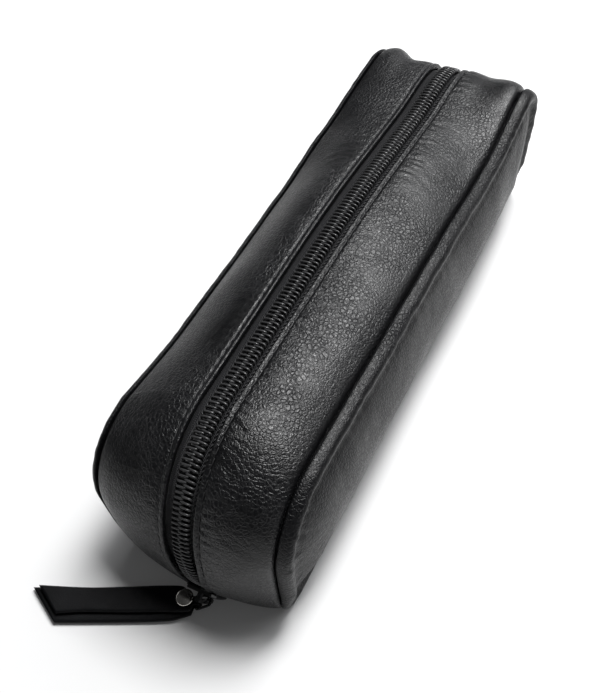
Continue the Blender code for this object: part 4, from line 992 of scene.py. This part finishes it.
def make_rivet(name):
    """Domed rivet head with its post below, turned from its profile."""
    turn = full_turn(40)
    radius, height = RIVET_PROFILE[:, :1], RIVET_PROFILE[:, 1:]
    sections = joined(RIVET_X + radius * np.cos(turn), RIVET_Y + radius * np.sin(turn), height)
    return tube_object(name, sections, MATERIALS["nickel"])


def put(piece, body, slot, *nodes):
    """Rides a piece on its body and hides the nodes that it stands for; slot is not used."""
    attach(piece, body)
    if nodes:
        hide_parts(*nodes)


# Finishes of the nodes that are carried over from the solids
CARRIED_OVER = {
    "foam": ("front_foam", "back_foam"),
    "board": ("base_board", "front_piping_cord", "back_piping_cord"),
    "lining": ("lining_front", "lining_back", "lining_base", "lining_gusset_front", "lining_gusset_back"),
    "nickel": ("top_stop_front", "top_stop_back", "bottom_stop", "rivet_back"),
    "enamel": ("slider", "pull_link"),
    "hide": ("base_leather",),
}


class BagSettings(bpy.types.PropertyGroup):
    """What the panel lets a user change"""

    leather_colour: bpy.props.FloatVectorProperty(
        name="Leather colour", description="Hide's colour", subtype="COLOR", default=(0.0025, 0.0026, 0.0032)
    )
    gusset_stations: bpy.props.IntProperty(
        name="Gusset stations", description="Sections along each gusset", default=960, min=80
    )
    panel_stations: bpy.props.IntProperty(
        name="Panel stations", description="Half the sections round each panel", default=330, min=40
    )
    floor_colour: bpy.props.FloatVectorProperty(
        name="Floor colour", description="Floor's colour", subtype="COLOR", default=(0.7, 0.7, 0.7)
    )


class BAG_OT_materials(bpy.types.Operator):
    """Makes the finishes and gives the carried-over nodes theirs"""

    bl_idname = "bag.materials"
    bl_label = "Finishes"

    def execute(self, context):
        make_materials(context.scene.bag_settings)
        for finish, nodes in CARRIED_OVER.items():
            for node in nodes:
                mesh = NODES[node].data
                mesh.materials.clear()
                mesh.materials.append(MATERIALS[finish])
        return {"FINISHED"}


class BAG_OT_gussets(bpy.types.Operator):
    """Makes the two gusset strips with their topstitching"""

    bl_idname = "bag.gussets"
    bl_label = "Gussets"

    def execute(self, context):
        count = context.scene.bag_settings.gusset_stations
        for name, side, knots in SIDES:
            put(make_gusset(name + "_gusset_hide", side, knots, count), "bag", "leather", "gusset_" + name)
            put(make_stitches(name + "_topstitch", side, knots), "bag", "zip")
        return {"FINISHED"}


class BAG_OT_panels(bpy.types.Operator):
    """Makes the two panels with their rolled beads"""

    bl_idname = "bag.panels"
    bl_label = "Panels"

    def execute(self, context):
        half = context.scene.bag_settings.panel_stations
        for name, side, knots in SIDES:
            piece = make_shell(name + "_panel_hide", side, knots, half)
            put(piece, "bag", "leather", name + "_panel", name + "_piping", name + "_piping_cord")
        return {"FINISHED"}


class BAG_OT_zip(bpy.types.Operator):
    """Makes the zip's tapes, coils and sewing"""

    bl_idname = "bag.zip"
    bl_label = "Zip"

    def execute(self, context):
        for name, side, knots in SIDES:
            put(make_tape(name + "_tape", side, knots, 500), "bag", "zip", "zip_tape_" + name)
            put(make_coil(name + "_coil", side), "bag", "zip", "zip_coil_" + name)
            put(make_coil_thread(name + "_coil_thread", side, knots), "bag", "zip")
        return {"FINISHED"}


class BAG_OT_pull(bpy.types.Operator):
    """Makes the strap and its rivet"""

    bl_idname = "bag.pull"
    bl_label = "Pull"

    def execute(self, context):
        put(make_strap("strap_hide"), "pull", "strap", "pull_strap")
        put(make_rivet("rivet_dome"), "pull", "nickel", "rivet_cap")
        return {"FINISHED"}


# Stage: the view and the light of the photograph
CAMERA_ANGLES = (-53.7, 51.9, -10.6)
CAMERA_TARGET = np.array((-6.3, 15.0, 0.0)) * MM
CAMERA_DISTANCE = 330.1 * MM
SENSOR_WIDTH = 36.0
LENS = 958.0 / 693.0 * SENSOR_WIDTH
FLOOR_REACH = 3.0
LAMP_TARGET = (0.0, 0.0, 0.03)
# Name, place, size in metres and power in watts
LAMPS = (
    ("key", (0.35, -0.13, 0.9), (0.28, 0.48), 13.5),
    ("side", (0.46, -0.68, 0.52), (0.36, 0.1), 0.3),
)
# Direction, cosines where the glow starts and is full, and strength: the wall and the side of the room
GLOWS = (((0.68, -0.17, 0.71), 0.82, 0.97, 2.45), ((0.53, -0.75, 0.4), 0.0, 1.0, 0.05))
ROOM_STRENGTH = 0.05
ROOM_COLOUR = (0.97, 0.98, 1.0, 1.0)


def look_axes(angles):
    """Camera right, up and back directions from azimuth, elevation and roll in degrees."""
    a, e, r = np.radians(angles)
    back = np.array((math.sin(a) * math.cos(e), -math.cos(a) * math.cos(e), math.sin(e)))
    right = unit(np.cross(-back, (0.0, 0.0, 1.0)))
    up = np.cross(right, -back)
    return math.cos(r) * right + math.sin(r) * up, -math.sin(r) * right + math.cos(r) * up, back


def placed(name, data, axes, place):
    """New object of a lamp or camera, with its right, up and back directions, at a place."""
    matrix = np.eye(4)
    matrix[:3] = np.stack([*axes, place], axis=1)
    item = bpy.data.objects.new(name, data)
    item.matrix_world = Matrix(matrix.tolist())
    bpy.context.scene.collection.objects.link(item)
    return item


def area_lamp(name, place, size, power):
    """Lamp that shines at the bag."""
    data = bpy.data.lights.new(name, "AREA")
    data.shape = "RECTANGLE"
    data.size, data.size_y = size
    data.energy = power
    back = unit(np.asarray(place) - np.asarray(LAMP_TARGET))
    right = unit(np.cross((0.0, 0.0, 1.0), back))
    placed(name, data, (right, np.cross(back, right), back), place)


def glow_toward(tree, coords, direction, low, high, strength):
    """Strength that grows smoothly as the seen direction nears a given one."""
    values = {0: coords.outputs["Generated"], 1: tuple(unit(np.array(direction)))}
    dot = add_node(tree, "VectorMath", values, "Value", operation="DOT_PRODUCT")
    return value_range(tree, dot, low, high, 0.0, strength)


def make_world():
    """Room light: nearly dark all round, a bright wall beyond the far end and a paler side on the right."""
    world = bpy.data.worlds.new("room")
    world.use_nodes = True
    tree = world.node_tree
    coords = tree.nodes.new("ShaderNodeTexCoord")
    wall, side = (glow_toward(tree, coords, *values) for values in GLOWS)
    strength = math_node(tree, "ADD", math_node(tree, "ADD", wall, side), ROOM_STRENGTH)
    fill(tree, tree.nodes["Background"], {"Strength": strength, "Color": ROOM_COLOUR})
    bpy.context.scene.world = world


class BAG_OT_stage(bpy.types.Operator):
    """Makes the floor, the lamps, the room light and the camera"""

    bl_idname = "bag.stage"
    bl_label = "Stage"

    def execute(self, context):
        scene = context.scene
        corners = np.array(((-1, -1, 0), (1, -1, 0), (1, 1, 0), (-1, 1, 0))) * FLOOR_REACH
        paper = paper_material(tuple(scene.bag_settings.floor_colour))
        floor = mesh_object("floor", corners, np.array([[0, 1, 2, 3]]), paper, False)
        for name, place, size, power in LAMPS:
            area_lamp(name, place, size, power)
        make_world()
        axes = look_axes(CAMERA_ANGLES)
        data = bpy.data.cameras.new("camera")
        data.sensor_width = SENSOR_WIDTH
        data.lens = LENS
        data.clip_start = 0.01
        scene.camera = placed("camera", data, axes, CAMERA_TARGET + axes[2] * CAMERA_DISTANCE)
        scene.view_settings.view_transform = "Standard"
        return {"FINISHED"}


OPERATORS = (BAG_OT_materials, BAG_OT_gussets, BAG_OT_panels, BAG_OT_zip, BAG_OT_pull, BAG_OT_stage)


class BAG_PT_panel(bpy.types.Panel):
    """Lists the steps that build the bag"""

    bl_label = "Zip bag"
    bl_idname = "BAG_PT_panel"
    bl_space_type = "VIEW_3D"
    bl_region_type = "UI"
    bl_category = "Zip bag"

    def draw(self, context):
        layout = self.layout
        settings = context.scene.bag_settings
        for label in ("leather_colour", "gusset_stations", "panel_stations", "floor_colour"):
            layout.prop(settings, label)
        for step in OPERATORS:
            layout.operator(step.bl_idname)


CLASSES = (BagSettings,) + OPERATORS + (BAG_PT_panel,)


def register():
    """Adds the classes and the settings."""
    for item in CLASSES:
        bpy.utils.register_class(item)
    bpy.types.Scene.bag_settings = bpy.props.PointerProperty(type=BagSettings)


def unregister():
    """Takes the settings and the classes away."""
    del bpy.types.Scene.bag_settings
    for item in reversed(CLASSES):
        bpy.utils.unregister_class(item)


def main():
    """Builds the bag and its stage."""
    register()
    bpy.ops.bag.materials()
    bpy.ops.bag.gussets()
    bpy.ops.bag.panels()
    bpy.ops.bag.zip()
    bpy.ops.bag.pull()
    bpy.ops.bag.stage()


if __name__ == "__main__":
    main()
